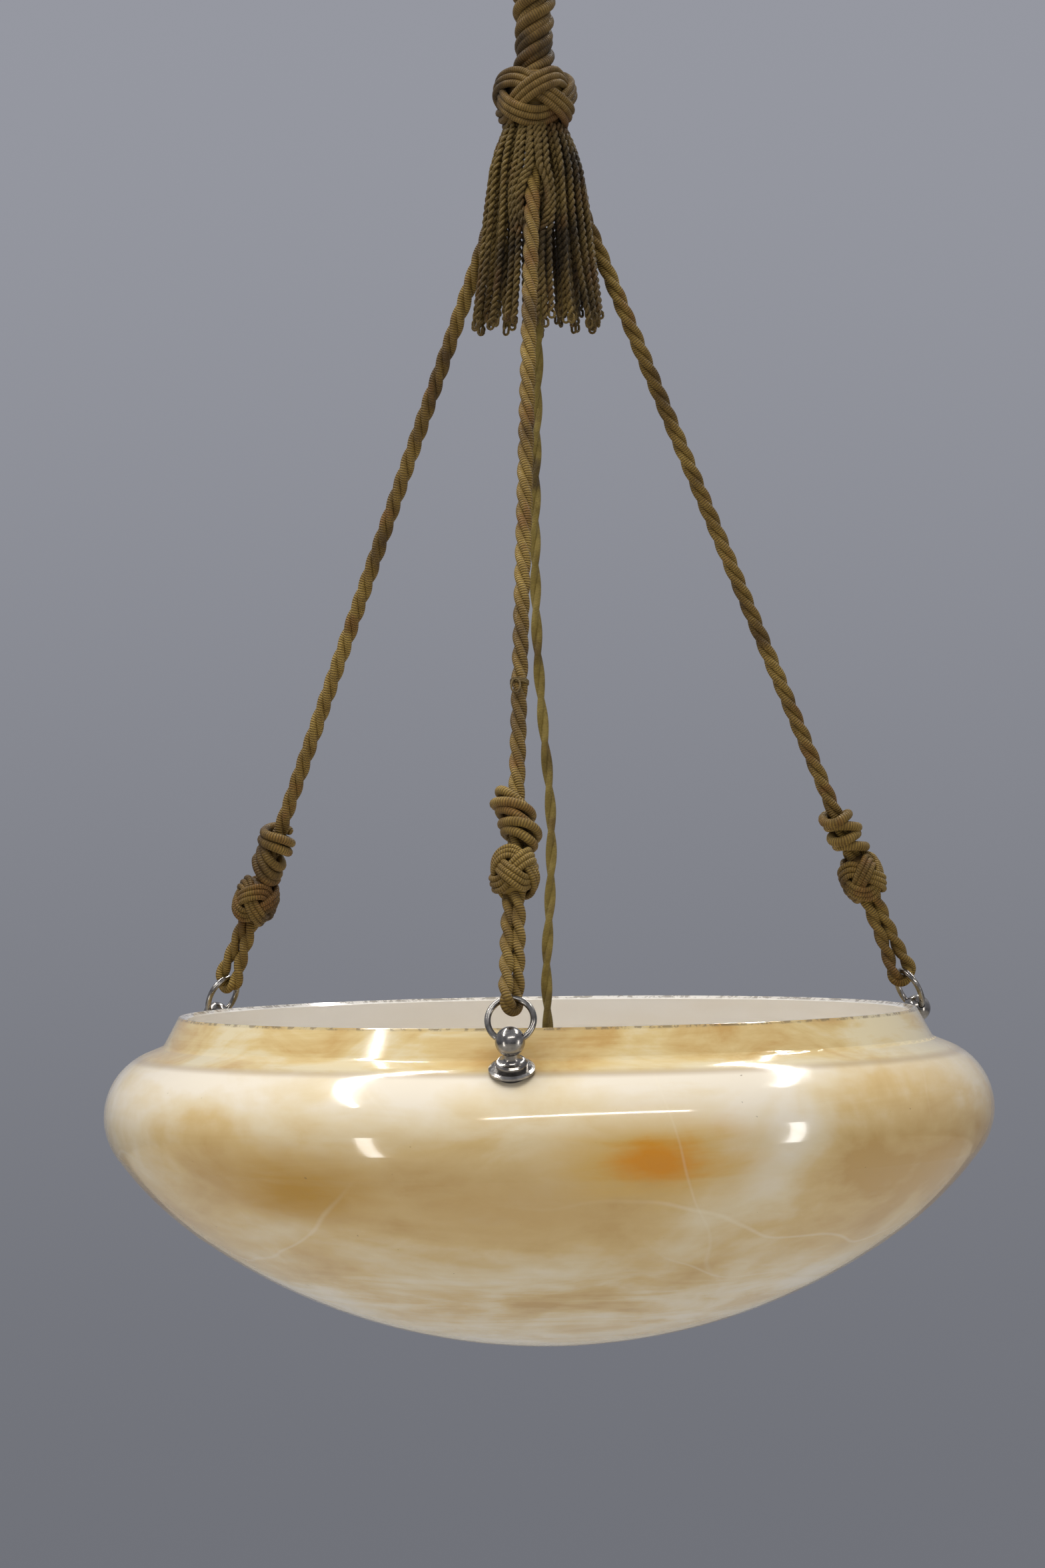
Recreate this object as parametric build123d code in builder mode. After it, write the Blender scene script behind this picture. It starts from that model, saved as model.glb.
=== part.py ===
from build123d import *
from math import atan2, cos, degrees, dist, hypot, pi, radians, sin, sqrt, tan
import os

os.makedirs("parts", exist_ok=True)

# Millimetres. +Z is up and the origin is on the ceiling, above the middle of the bowl.
# The front of the lamp faces -Y.

# Ceiling plate and hook
plate_radius = 32.0
plate_thickness = 3.0
plate_hole = 4.6
plate_hole_spacing = 44.0
plate_sink = 8.6
plate_edge = 0.8
hook_wire = 5.0
hook_radius = 9.0
hook_neck = 12.0
hook_bend = 4.0
hook_sweep = 245.0
hook_top_gap = 0.3
hook_nut_flats = 8.0
hook_nut_height = 4.0
thread_fit = 0.05

# Link between the hook and the rope
link_gap = 0.3
link_wire = 4.0
link_radius = 10.0

# Main rope, its top loop and the seizing below the loop
top_cord = 7.0
top_loop_radius = 6.9
rope_diameter = 21.5
rope_bore = 5.4
rope_hidden = 26.0
rope_shown = 74.0
seizing_height = 8.0
seizing_thread = 1.0
seizing_clear = 4.8

# Canopy with its grip collar and thumbscrew
canopy_radius = 56.0
canopy_wall = 1.2
canopy_gap = 6.0
canopy_lip = 3.5
canopy_dome_drop = 52.5
canopy_dome_radius = 27.0
canopy_dome_bulge = 7.0
canopy_waist = 2.5
canopy_height = 78.0
canopy_neck = 16.0
canopy_neck_height = 7.0
slide_gap = 0.3
collar_outer = 17.0
collar_height = 12.0
collar_edge = 1.5
screw_shank = 4.0
screw_fit = 0.05
screw_head = 10.0
screw_head_length = 6.0
screw_stand_off = 0.6
screw_flutes = 12
screw_flute = 0.7

# Flex and its terminal block
flex_diameter = 4.3
flex_joint_gap = 0.5
block_width = 17.0
block_depth = 11.0
block_height = 18.0
block_corner = 1.5
block_place = 29.0
block_low = 27.0
block_bore = 3.2
block_pitch = 8.4
block_screw = 3.0
block_screw_length = 3.5
block_screw_rows = 9.0
screw_slot = 0.6

# Large knot and tassel
knot_height = 28.0
knot_radius = 19.5
knot_end_radius = 14.5
knot_fit = 0.1
tassel_length = 94.0
tassel_top_radius = 14.0
tassel_mid_radius = 22.5
tassel_mid_drop = 26.0
tassel_bulge = 1.6
tassel_bottom_radius = 31.0
tassel_wall = 4.0
tassel_parting = 0.6

# Three suspension ropes
cord_diameter = 7.0
cord_circle = 6.6
cord_fall = 396.0

# Glass bowl
bowl_radius = 200.0
belly_drop = 45.0
belly_arc = 30.5
side_arc = 160.0
side_angle = 54.0
base_angle = 36.0
shoulder_slope = 22.0
shoulder_reach = 27.0
collar_flare = 7.4
collar_fillet = 3.5
rim_edge = 0.7
glass = 3.6
stud_hole = 6.0

# Finials and what clamps them
finial_tilt = 27.0
finial_height = 14.7
ball_radius = 6.3
neck_radius = 3.5
neck_low = 8.0
base_radius = 6.8
base_height = 1.9
base_bevel = 0.7
neck_hollow = 0.7
stud_diameter = 4.0
stud_below_nut = 1.6
gasket_outer = 1.2
gasket_inner = 2.4
gasket_radius = 7.5
gasket_bore = 4.3
rosette_radius = 9.75
rosette_thickness = 1.6
rosette_edge = 0.9
rosette_step = 8.6
washer_radius = 7.0
washer_thickness = 1.0
nut_flats = 7.0
nut_height = 3.2

# Rings, rope loops, ball knots and wound cords
ring_radius = 9.65
ring_wire = 2.7
ring_play = 0.25
ring_split = 0.3
ring_split_angle = -38.0
loop_cord = 5.6
ball_knot_radius = 11.0
ball_knot_height = 21.0
ball_knot_flat = 8.0
wound_cord = 4.0
wound_radius = 7.8
wound_pitch = 5.0
wound_shift = 1.5
wound_lean = 0.9
wound_swell = 0.2
wound_rise = 4.2
tie_height = 165.0
tie_thread = 1.2

# Lampholder and bulb
holder_drop = 10.0
bush_radius = 6.0
bush_flange = 8.0
bush_flange_height = 2.0
bush_height = 9.0
bush_bore = 4.9
cap_wall = 0.9
cap_height = 20.0
cap_neck = 9.0
cap_neck_height = 5.0
cap_skirt = 3.0
cap_bulge = 3.2
holder_radius = 20.0
shell_wall = 0.8
shell_height = 32.0
core_height = 18.0
core_fit = 0.3
core_floor = 7.0
core_drop = 2.0
core_screw = 3.0
core_screw_head = 5.0
core_screw_place = 10.0
core_screw_length = 5.0
core_screw_head_height = 1.6
liner_wall = 0.5
liner_fit = 0.1
liner_bore = 27.2
contact_height = 1.2
contact_radius = 4.0
mouth_ring_height = 6.0
mouth_ring_outer = 21.5
mouth_ring_bore = 29.0
mouth_ring_spigot = 4.0
bulb_fit = 0.45
bulb_base_height = 22.0
bulb_foot_radius = 5.0
bulb_foot_height = 1.5
bulb_foot_taper = 20.0
bulb_shoulder = 10.0
bulb_shoulder_drop = 3.0
bulb_gap = 0.3
bulb_radius = 22.5
bulb_neck = 12.6
bulb_length = 48.0
bulb_wall = 0.8

# Heights, worked out from the ceiling down
hook_z = -plate_thickness - hook_neck - hook_radius
hook_low_z = hook_z - hook_radius
link_z = hook_low_z + hook_wire / 2 + link_gap + link_wire / 2 - link_radius
link_low_z = link_z - link_radius
top_loop_z = link_low_z + link_wire / 2 + link_gap + top_cord / 2 - top_loop_radius
canopy_top_z = -canopy_gap
canopy_low_z = canopy_top_z - canopy_height
top_loop_leg = top_loop_z - canopy_low_z - canopy_wall - seizing_clear - seizing_height
rope_top_z = top_loop_z - top_loop_leg
knot_top_z = rope_top_z - rope_hidden - rope_shown
knot_low_z = knot_top_z - knot_height
rim_z = knot_low_z - cord_fall
belly_z = rim_z - belly_drop
block_low_z = -block_low
cap_top_z = rim_z - holder_drop - bush_flange_height
cap_low_z = cap_top_z - cap_height
cap_skirt_z = cap_low_z + cap_skirt
shell_low_z = cap_low_z - shell_height
core_top_z = cap_low_z - core_drop
core_floor_z = core_top_z - core_floor
bulb_top_z = core_floor_z - contact_height - bulb_gap
bulb_base_z = bulb_top_z - bulb_foot_height
bulb_neck_z = bulb_base_z - bulb_base_height

# Where each finial seats on the shoulder, in radius and height
belly_center = bowl_radius - belly_arc
collar_radius = bowl_radius - shoulder_reach
rim_radius = collar_radius - collar_flare
seat_radius = belly_center + belly_arc * sin(radians(finial_tilt))
seat_z = belly_z + belly_arc * cos(radians(finial_tilt))
ball_place = seat_radius + finial_height * sin(radians(finial_tilt))
ball_z = seat_z + finial_height * cos(radians(finial_tilt))
cord_run = hypot(ball_place - cord_circle, knot_low_z - ball_z)
cord_lean = degrees(atan2(ball_place - cord_circle, knot_low_z - ball_z))
loop_radius = ring_wire / 2 + link_gap + loop_cord / 2
loop_center = 2 * ring_radius

block_screw_plane = Plane(
    origin=(0, block_place + block_depth / 2, block_low_z + block_height / 2),
    x_dir=(1, 0, 0),
    z_dir=(0, 1, 0),
)
stud_end = -glass - gasket_inner - washer_thickness - nut_height - stud_below_nut

# Each suspension: its name, its azimuth from +X, the height of its ball knot's middle along the
# rope from the finial's ball, and the quarter turns of its wound cord
suspensions = [
    ("front", -95.0, 76.3, 18),
    ("right", 25.0, 67.5, 14),
    ("left", 145.0, 59.5, 20),
]


def save(piece, name):
    piece.part.label = name
    export_step(piece.part, "parts/" + name + ".step")


def radial(azimuth, radius, height):
    return Vector(radius * cos(radians(azimuth)), radius * sin(radians(azimuth)), height)


def tangent(azimuth):
    return Vector(-sin(radians(azimuth)), cos(radians(azimuth)), 0)


# A plane whose Z leans outwards from the vertical, and whose X runs round the bowl
def leaning_plane(azimuth, radius, height, lean):
    up = radial(azimuth, sin(radians(lean)), cos(radians(lean)))
    return Plane(origin=radial(azimuth, radius, height), x_dir=tangent(azimuth), z_dir=up)


# The plane through another plane's X and Z, for a profile that is turned about its Z
def side_of(plane):
    return Plane(origin=plane.origin, x_dir=plane.x_dir, z_dir=plane.x_dir.cross(plane.z_dir))


def axis_of(plane):
    return Axis(plane.origin, plane.z_dir)


def finial_plane(azimuth):
    return leaning_plane(azimuth, seat_radius, seat_z, finial_tilt)


# Its Z runs up the rope from the finial's ball, its X round the bowl and its Y inwards
def cord_plane(azimuth):
    return leaning_plane(azimuth, ball_place, ball_z, -cord_lean)


# A point at an angle from straight down, seen from the arc's centre
def arc_point(radius, angle):
    return Vector(radius * sin(radians(angle)), -radius * cos(radians(angle)))


# The middle of a line, moved to its left by an amount
def bulged(start, end, amount):
    along = (Vector(*end) - Vector(*start)).normalized()
    middle = (Vector(*start) + Vector(*end)) * 0.5
    return middle + Vector(-along.Y, along.X) * amount


# Each corner's radius: 0.45 of its shorter run, over the tangent of half its turn
def fillet_radii(points):
    radii = []
    for before, corner, after in zip(points, points[1:], points[2:]):
        run_in = Vector(*corner) - Vector(*before)
        run_out = Vector(*after) - Vector(*corner)
        half_turn = radians(run_in.get_angle(run_out)) / 2
        radii.append(0.45 * min(run_in.length, run_out.length) / tan(half_turn))
    return radii


# The joint of two arcs that leave and arrive along the given ways, and the direction there
def biarc(start, start_way, end, end_way):
    chord = end - start
    ways = start_way + end_way
    turn = 2 * (1 - start_way.dot(end_way))
    along = chord.dot(ways)
    reach = (sqrt(along**2 + turn * chord.dot(chord)) - along) / turn
    first = start + start_way * reach
    second = end - end_way * reach
    return (first + second) * 0.5, (second - first).normalized()


# Points and directions of a cord wound round a rope: the quarter turns of an uneven spiral that
# sets off straight up from the ball knot and ends with a short straight tail
def wound_path(plane, quarters):
    turns = quarters * pi / 2
    low = ball_knot_height / 2 + wound_cord + wound_rise

    def place(angle):
        share = angle / turns
        sideways = wound_shift * cos(pi * share)
        swell = wound_radius + wound_swell * sin(1.7 * angle)
        climb = wound_pitch * angle / (2 * pi) - wound_lean * sin(angle)
        return Vector(sideways - swell * sin(angle), -swell * cos(angle), low + climb)

    points = [Vector(wound_radius, 0, ball_knot_height / 2)]
    ways = [Vector(0, 0, 1)]
    points.append(points[0] + Vector(0, 0, wound_cord))
    ways.append(Vector(0, 0, 1))
    for step in range(round(quarters) + 1):
        angle = step * pi / 2
        points.append(place(angle))
        ways.append((place(angle + 0.01) - place(angle - 0.01)).normalized())
    points.append(points[-1] + ways[-1] * wound_cord)
    ways.append(ways[-1])
    places = [plane.from_local_coords(point) for point in points]
    directions = [(plane.from_local_coords(way) - plane.origin).normalized() for way in ways]
    return places, directions


# The smallest clear gap between parts of a wound tube that are not neighbours on it
def least_gap(path, thickness):
    steps = int(path.length / (thickness / 8))
    points = [tuple(path @ (step / steps)) for step in range(steps + 1)]
    neighbours = 20
    apart = min(
        dist(points[i], points[j])
        for i in range(len(points))
        for j in range(i + neighbours, len(points))
    )
    return apart - thickness


# Ceiling plate: a disc with two countersunk holes and a tapped centre
with BuildPart() as ceiling_plate:
    with BuildSketch(Plane.XY.offset(-plate_thickness)):
        Circle(plate_radius)
    extrude(amount=plate_thickness)
    chamfer(ceiling_plate.faces().sort_by(Axis.Z)[0].edges(), plate_edge)
    with Locations(Plane(origin=(0, 0, -plate_thickness), x_dir=(1, 0, 0), z_dir=(0, 0, -1))):
        Hole(hook_wire / 2 + thread_fit)
        with GridLocations(plate_hole_spacing, 1, 2, 1):
            CounterSinkHole(plate_hole / 2, plate_sink / 2)
save(ceiling_plate, "ceiling_plate")

# Ceiling hook: a round wire, bent back off its shank and then round the shank's own line
with BuildPart() as ceiling_hook:
    with BuildLine(Plane.XZ):
        FilletPolyline(
            (0, -hook_top_gap),
            (0, hook_z + hook_radius * sqrt(2)),
            (-hook_radius / sqrt(2), hook_z + hook_radius / sqrt(2)),
            radius=hook_bend,
        )
        CenterArc((0, hook_z), hook_radius, 135, hook_sweep)
    with BuildSketch(Plane.XY.offset(-hook_top_gap)):
        Circle(hook_wire / 2)
    sweep()
save(ceiling_hook, "ceiling_hook")

# Lock nut that holds the hook's shank to the plate
with BuildPart() as hook_nut:
    with BuildSketch(Plane.XY.offset(-plate_thickness)):
        RegularPolygon(hook_nut_flats / 2, 6, major_radius=False)
        Circle(hook_wire / 2 + thread_fit, mode=Mode.SUBTRACT)
    extrude(amount=-hook_nut_height)
save(hook_nut, "hook_nut")

# Closed ring that joins the hook and the rope's loop
with BuildPart() as suspension_link:
    with Locations(Plane(origin=(0, 0, link_z), x_dir=(0, 1, 0), z_dir=(1, 0, 0))):
        Torus(link_radius, link_wire / 2)
save(suspension_link, "suspension_link")

# The rope's own loop, over the ring's lowest point and down into the rope
with BuildPart() as rope_top_loop:
    with BuildLine(Plane.XZ):
        Line((-top_loop_radius, rope_top_z), (-top_loop_radius, top_loop_z))
        ThreePointArc(
            (-top_loop_radius, top_loop_z),
            (0, top_loop_z + top_loop_radius),
            (top_loop_radius, top_loop_z),
        )
        Line((top_loop_radius, top_loop_z), (top_loop_radius, rope_top_z))
    with BuildSketch(Plane.XY.offset(rope_top_z)):
        with Locations((-top_loop_radius, 0)):
            Circle(top_cord / 2)
    sweep()
save(rope_top_loop, "rope_top_loop")

# Main rope, laid round a bore that the flex runs through
with BuildPart() as main_rope:
    with BuildSketch(Plane.XY.offset(knot_low_z)):
        Circle(rope_diameter / 2)
        Circle(rope_bore / 2, mode=Mode.SUBTRACT)
    extrude(amount=rope_top_z - knot_low_z)
save(main_rope, "main_rope")

# Seizing: a thread served round the rope's end below the loop
with BuildPart() as rope_seizing:
    with BuildSketch(Plane.XY.offset(rope_top_z)):
        Circle(rope_diameter / 2 + knot_fit + seizing_thread)
        Circle(rope_diameter / 2 + knot_fit, mode=Mode.SUBTRACT)
    extrude(amount=-seizing_height)
save(rope_seizing, "rope_seizing")

# Canopy: a spun bell with a rolled lip, open at the ceiling, with a hole for the rope in its foot
dome_low_z = canopy_top_z - canopy_dome_drop
neck_top_z = canopy_low_z + canopy_neck_height
with BuildPart() as canopy:
    with BuildSketch(Plane.XZ):
        with BuildLine():
            Line((canopy_radius, canopy_top_z), (canopy_radius, canopy_top_z - canopy_lip))
            ThreePointArc(
                (canopy_radius, canopy_top_z - canopy_lip),
                bulged(
                    (canopy_radius, canopy_top_z - canopy_lip),
                    (canopy_dome_radius, dome_low_z),
                    canopy_dome_bulge,
                ),
                (canopy_dome_radius, dome_low_z),
            )
            ThreePointArc(
                (canopy_dome_radius, dome_low_z),
                bulged((canopy_dome_radius, dome_low_z), (canopy_neck, neck_top_z), -canopy_waist),
                (canopy_neck, neck_top_z),
            )
            Polyline(
                (canopy_neck, neck_top_z),
                (canopy_neck, canopy_low_z),
                (rope_diameter / 2 + slide_gap, canopy_low_z),
            )
            offset(amount=canopy_wall, side=Side.RIGHT)
        make_face()
    revolve(axis=Axis.Z)
save(canopy, "canopy")

# Grip collar under the canopy, with a radial hole for its thumbscrew
grip_z = canopy_low_z - collar_height / 2
with BuildPart() as canopy_collar:
    with BuildSketch(Plane.XY.offset(canopy_low_z)):
        Circle(collar_outer)
        Circle(rope_diameter / 2 + slide_gap, mode=Mode.SUBTRACT)
    extrude(amount=-collar_height)
    fillet(canopy_collar.faces().sort_by(Axis.Z)[0].outer_wire().edges(), collar_edge)
    with BuildSketch(Plane(origin=(0, 0, grip_z), x_dir=(0, 1, 0), z_dir=(1, 0, 0))):
        Circle(screw_shank / 2 + screw_fit)
    extrude(amount=2 * collar_outer, mode=Mode.SUBTRACT)
save(canopy_collar, "canopy_collar")

# Thumbscrew, whose tip stops just off the rope
with BuildPart() as collar_screw:
    with BuildSketch(
        Plane(origin=(rope_diameter / 2 + slide_gap, 0, grip_z), x_dir=(0, 1, 0), z_dir=(1, 0, 0))
    ):
        Circle(screw_shank / 2)
    extrude(amount=collar_outer + screw_stand_off - rope_diameter / 2 - slide_gap)
    with BuildSketch(
        Plane(origin=(collar_outer + screw_stand_off, 0, grip_z), x_dir=(0, 1, 0), z_dir=(1, 0, 0))
    ):
        Circle(screw_head / 2)
        with PolarLocations(screw_head / 2, screw_flutes):
            Circle(screw_flute, mode=Mode.SUBTRACT)
    extrude(amount=screw_head_length)
save(collar_screw, "collar_screw")

# Terminal block on the flex's upper end, with two wire bores and four clamp screws
with BuildPart() as terminal_block:
    with BuildSketch(Plane.XY.offset(block_low_z)):
        with Locations((0, block_place)):
            RectangleRounded(block_width, block_depth, block_corner)
            with GridLocations(block_pitch, 1, 2, 1):
                Circle(block_bore / 2, mode=Mode.SUBTRACT)
    extrude(amount=block_height)
    with Locations(block_screw_plane):
        with GridLocations(block_pitch, block_screw_rows, 2, 2):
            Hole(block_screw / 2 + screw_fit, depth=block_screw_length)
save(terminal_block, "terminal_block")

with BuildPart() as terminal_screws:
    with BuildSketch(block_screw_plane.offset(-block_screw_length)):
        with GridLocations(block_pitch, block_screw_rows, 2, 2):
            Circle(block_screw / 2)
    extrude(amount=block_screw_length - screw_slot)
    with BuildSketch(block_screw_plane.offset(-screw_slot)):
        with GridLocations(block_pitch, block_screw_rows, 2, 2):
            Circle(block_screw / 2)
            Rectangle(block_screw, screw_slot, mode=Mode.SUBTRACT)
    extrude(amount=screw_slot)
save(terminal_screws, "terminal_screws")

# Large knot round the rope's lower end
with BuildPart() as large_knot:
    with BuildSketch(Plane.XZ):
        with BuildLine():
            Polyline(
                (knot_end_radius, knot_top_z),
                (rope_diameter / 2 + knot_fit, knot_top_z),
                (rope_diameter / 2 + knot_fit, knot_low_z),
                (knot_end_radius, knot_low_z),
            )
            ThreePointArc(
                (knot_end_radius, knot_low_z),
                (knot_radius, (knot_top_z + knot_low_z) / 2),
                (knot_end_radius, knot_top_z),
            )
        make_face()
    revolve(axis=Axis.Z)
save(large_knot, "large_knot")

# Tassel: a hollow skirt under the knot, parted where the three ropes come through it
tassel_mid_z = knot_low_z - tassel_mid_drop
tassel_low_z = knot_low_z - tassel_length
with BuildPart() as tassel:
    with BuildSketch(Plane.XZ):
        with BuildLine():
            ThreePointArc(
                (tassel_top_radius, knot_low_z),
                bulged(
                    (tassel_top_radius, knot_low_z),
                    (tassel_mid_radius, tassel_mid_z),
                    tassel_bulge,
                ),
                (tassel_mid_radius, tassel_mid_z),
            )
            Polyline(
                (tassel_mid_radius, tassel_mid_z),
                (tassel_bottom_radius, tassel_low_z),
                (tassel_bottom_radius - tassel_wall, tassel_low_z),
                (tassel_mid_radius - tassel_wall, tassel_mid_z),
            )
            ThreePointArc(
                (tassel_mid_radius - tassel_wall, tassel_mid_z),
                bulged(
                    (tassel_mid_radius - tassel_wall, tassel_mid_z),
                    (tassel_top_radius - tassel_wall, knot_low_z),
                    -tassel_bulge,
                ),
                (tassel_top_radius - tassel_wall, knot_low_z),
            )
            Line((tassel_top_radius - tassel_wall, knot_low_z), (tassel_top_radius, knot_low_z))
        make_face()
    revolve(axis=Axis.Z)
    for name, azimuth, knot_place, quarters in suspensions:
        with Locations(cord_plane(azimuth).offset(cord_run - tassel_length / 2)):
            Cylinder(cord_diameter / 2 + tassel_parting, 2 * tassel_length, mode=Mode.SUBTRACT)
save(tassel, "tassel")

# Glass bowl: base, side and belly arcs in one smooth line, then the shoulder's slope, a rounded
# corner and the flared collar, all of one wall
belly_point = Vector(belly_center, belly_z)
side_point = belly_point + arc_point(belly_arc - side_arc, side_angle)
base_join = side_point + arc_point(side_arc, base_angle)
base_arc = base_join.X / sin(radians(base_angle))
base_point = Vector(0, base_join.Y + base_arc * cos(radians(base_angle)))
shoulder_end = belly_point + arc_point(belly_arc, 180 - shoulder_slope)
collar_foot = Vector(
    collar_radius, shoulder_end.Y + (shoulder_end.X - collar_radius) * tan(radians(shoulder_slope))
)
with BuildPart() as glass_bowl:
    with BuildSketch(Plane.XZ):
        with BuildLine():
            CenterArc(base_point, base_arc, -90, base_angle)
            CenterArc(side_point, side_arc, base_angle - 90, side_angle - base_angle)
            CenterArc(belly_point, belly_arc, side_angle - 90, 180 - shoulder_slope - side_angle)
            FilletPolyline(shoulder_end, collar_foot, (rim_radius, rim_z), radius=collar_fillet)
            offset(amount=glass, side=Side.LEFT)
        make_face()
    revolve(axis=Axis.Z)
    fillet(glass_bowl.edges().group_by(Axis.Z)[-1], rim_edge)
    for name, azimuth, knot_place, quarters in suspensions:
        with Locations(finial_plane(azimuth)):
            Cylinder(stud_hole / 2, 6 * glass, mode=Mode.SUBTRACT)
save(glass_bowl, "glass_bowl")
print("bowl depth", round(rim_z - base_point.Y + base_arc, 2))

# Gaskets, cut to the glass they lie on, each with half of the bush that lines the stud's hole
with BuildPart() as outer_gaskets:
    for name, azimuth, knot_place, quarters in suspensions:
        with BuildSketch(finial_plane(azimuth).offset(-glass / 2)):
            Circle(gasket_radius)
            Circle(gasket_bore / 2, mode=Mode.SUBTRACT)
        extrude(amount=glass / 2 + gasket_outer)
    add(glass_bowl.part, mode=Mode.SUBTRACT)
save(outer_gaskets, "outer_gaskets")

with BuildPart() as inner_gaskets:
    for name, azimuth, knot_place, quarters in suspensions:
        with BuildSketch(finial_plane(azimuth).offset(-glass / 2 - knot_fit)):
            Circle(gasket_radius)
            Circle(gasket_bore / 2, mode=Mode.SUBTRACT)
        extrude(amount=knot_fit - glass / 2 - gasket_inner)
    add(glass_bowl.part, mode=Mode.SUBTRACT)
save(inner_gaskets, "inner_gaskets")

with BuildPart() as inner_washers:
    for name, azimuth, knot_place, quarters in suspensions:
        with BuildSketch(finial_plane(azimuth).offset(-glass - gasket_inner)):
            Circle(washer_radius)
            Circle(gasket_bore / 2, mode=Mode.SUBTRACT)
        extrude(amount=-washer_thickness)
save(inner_washers, "inner_washers")

with BuildPart() as finial_nuts:
    for name, azimuth, knot_place, quarters in suspensions:
        with BuildSketch(finial_plane(azimuth).offset(-glass - gasket_inner - washer_thickness)):
            RegularPolygon(nut_flats / 2, 6, major_radius=False)
            Circle(stud_diameter / 2 + thread_fit, mode=Mode.SUBTRACT)
        extrude(amount=-nut_height)
save(finial_nuts, "finial_nuts")

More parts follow.
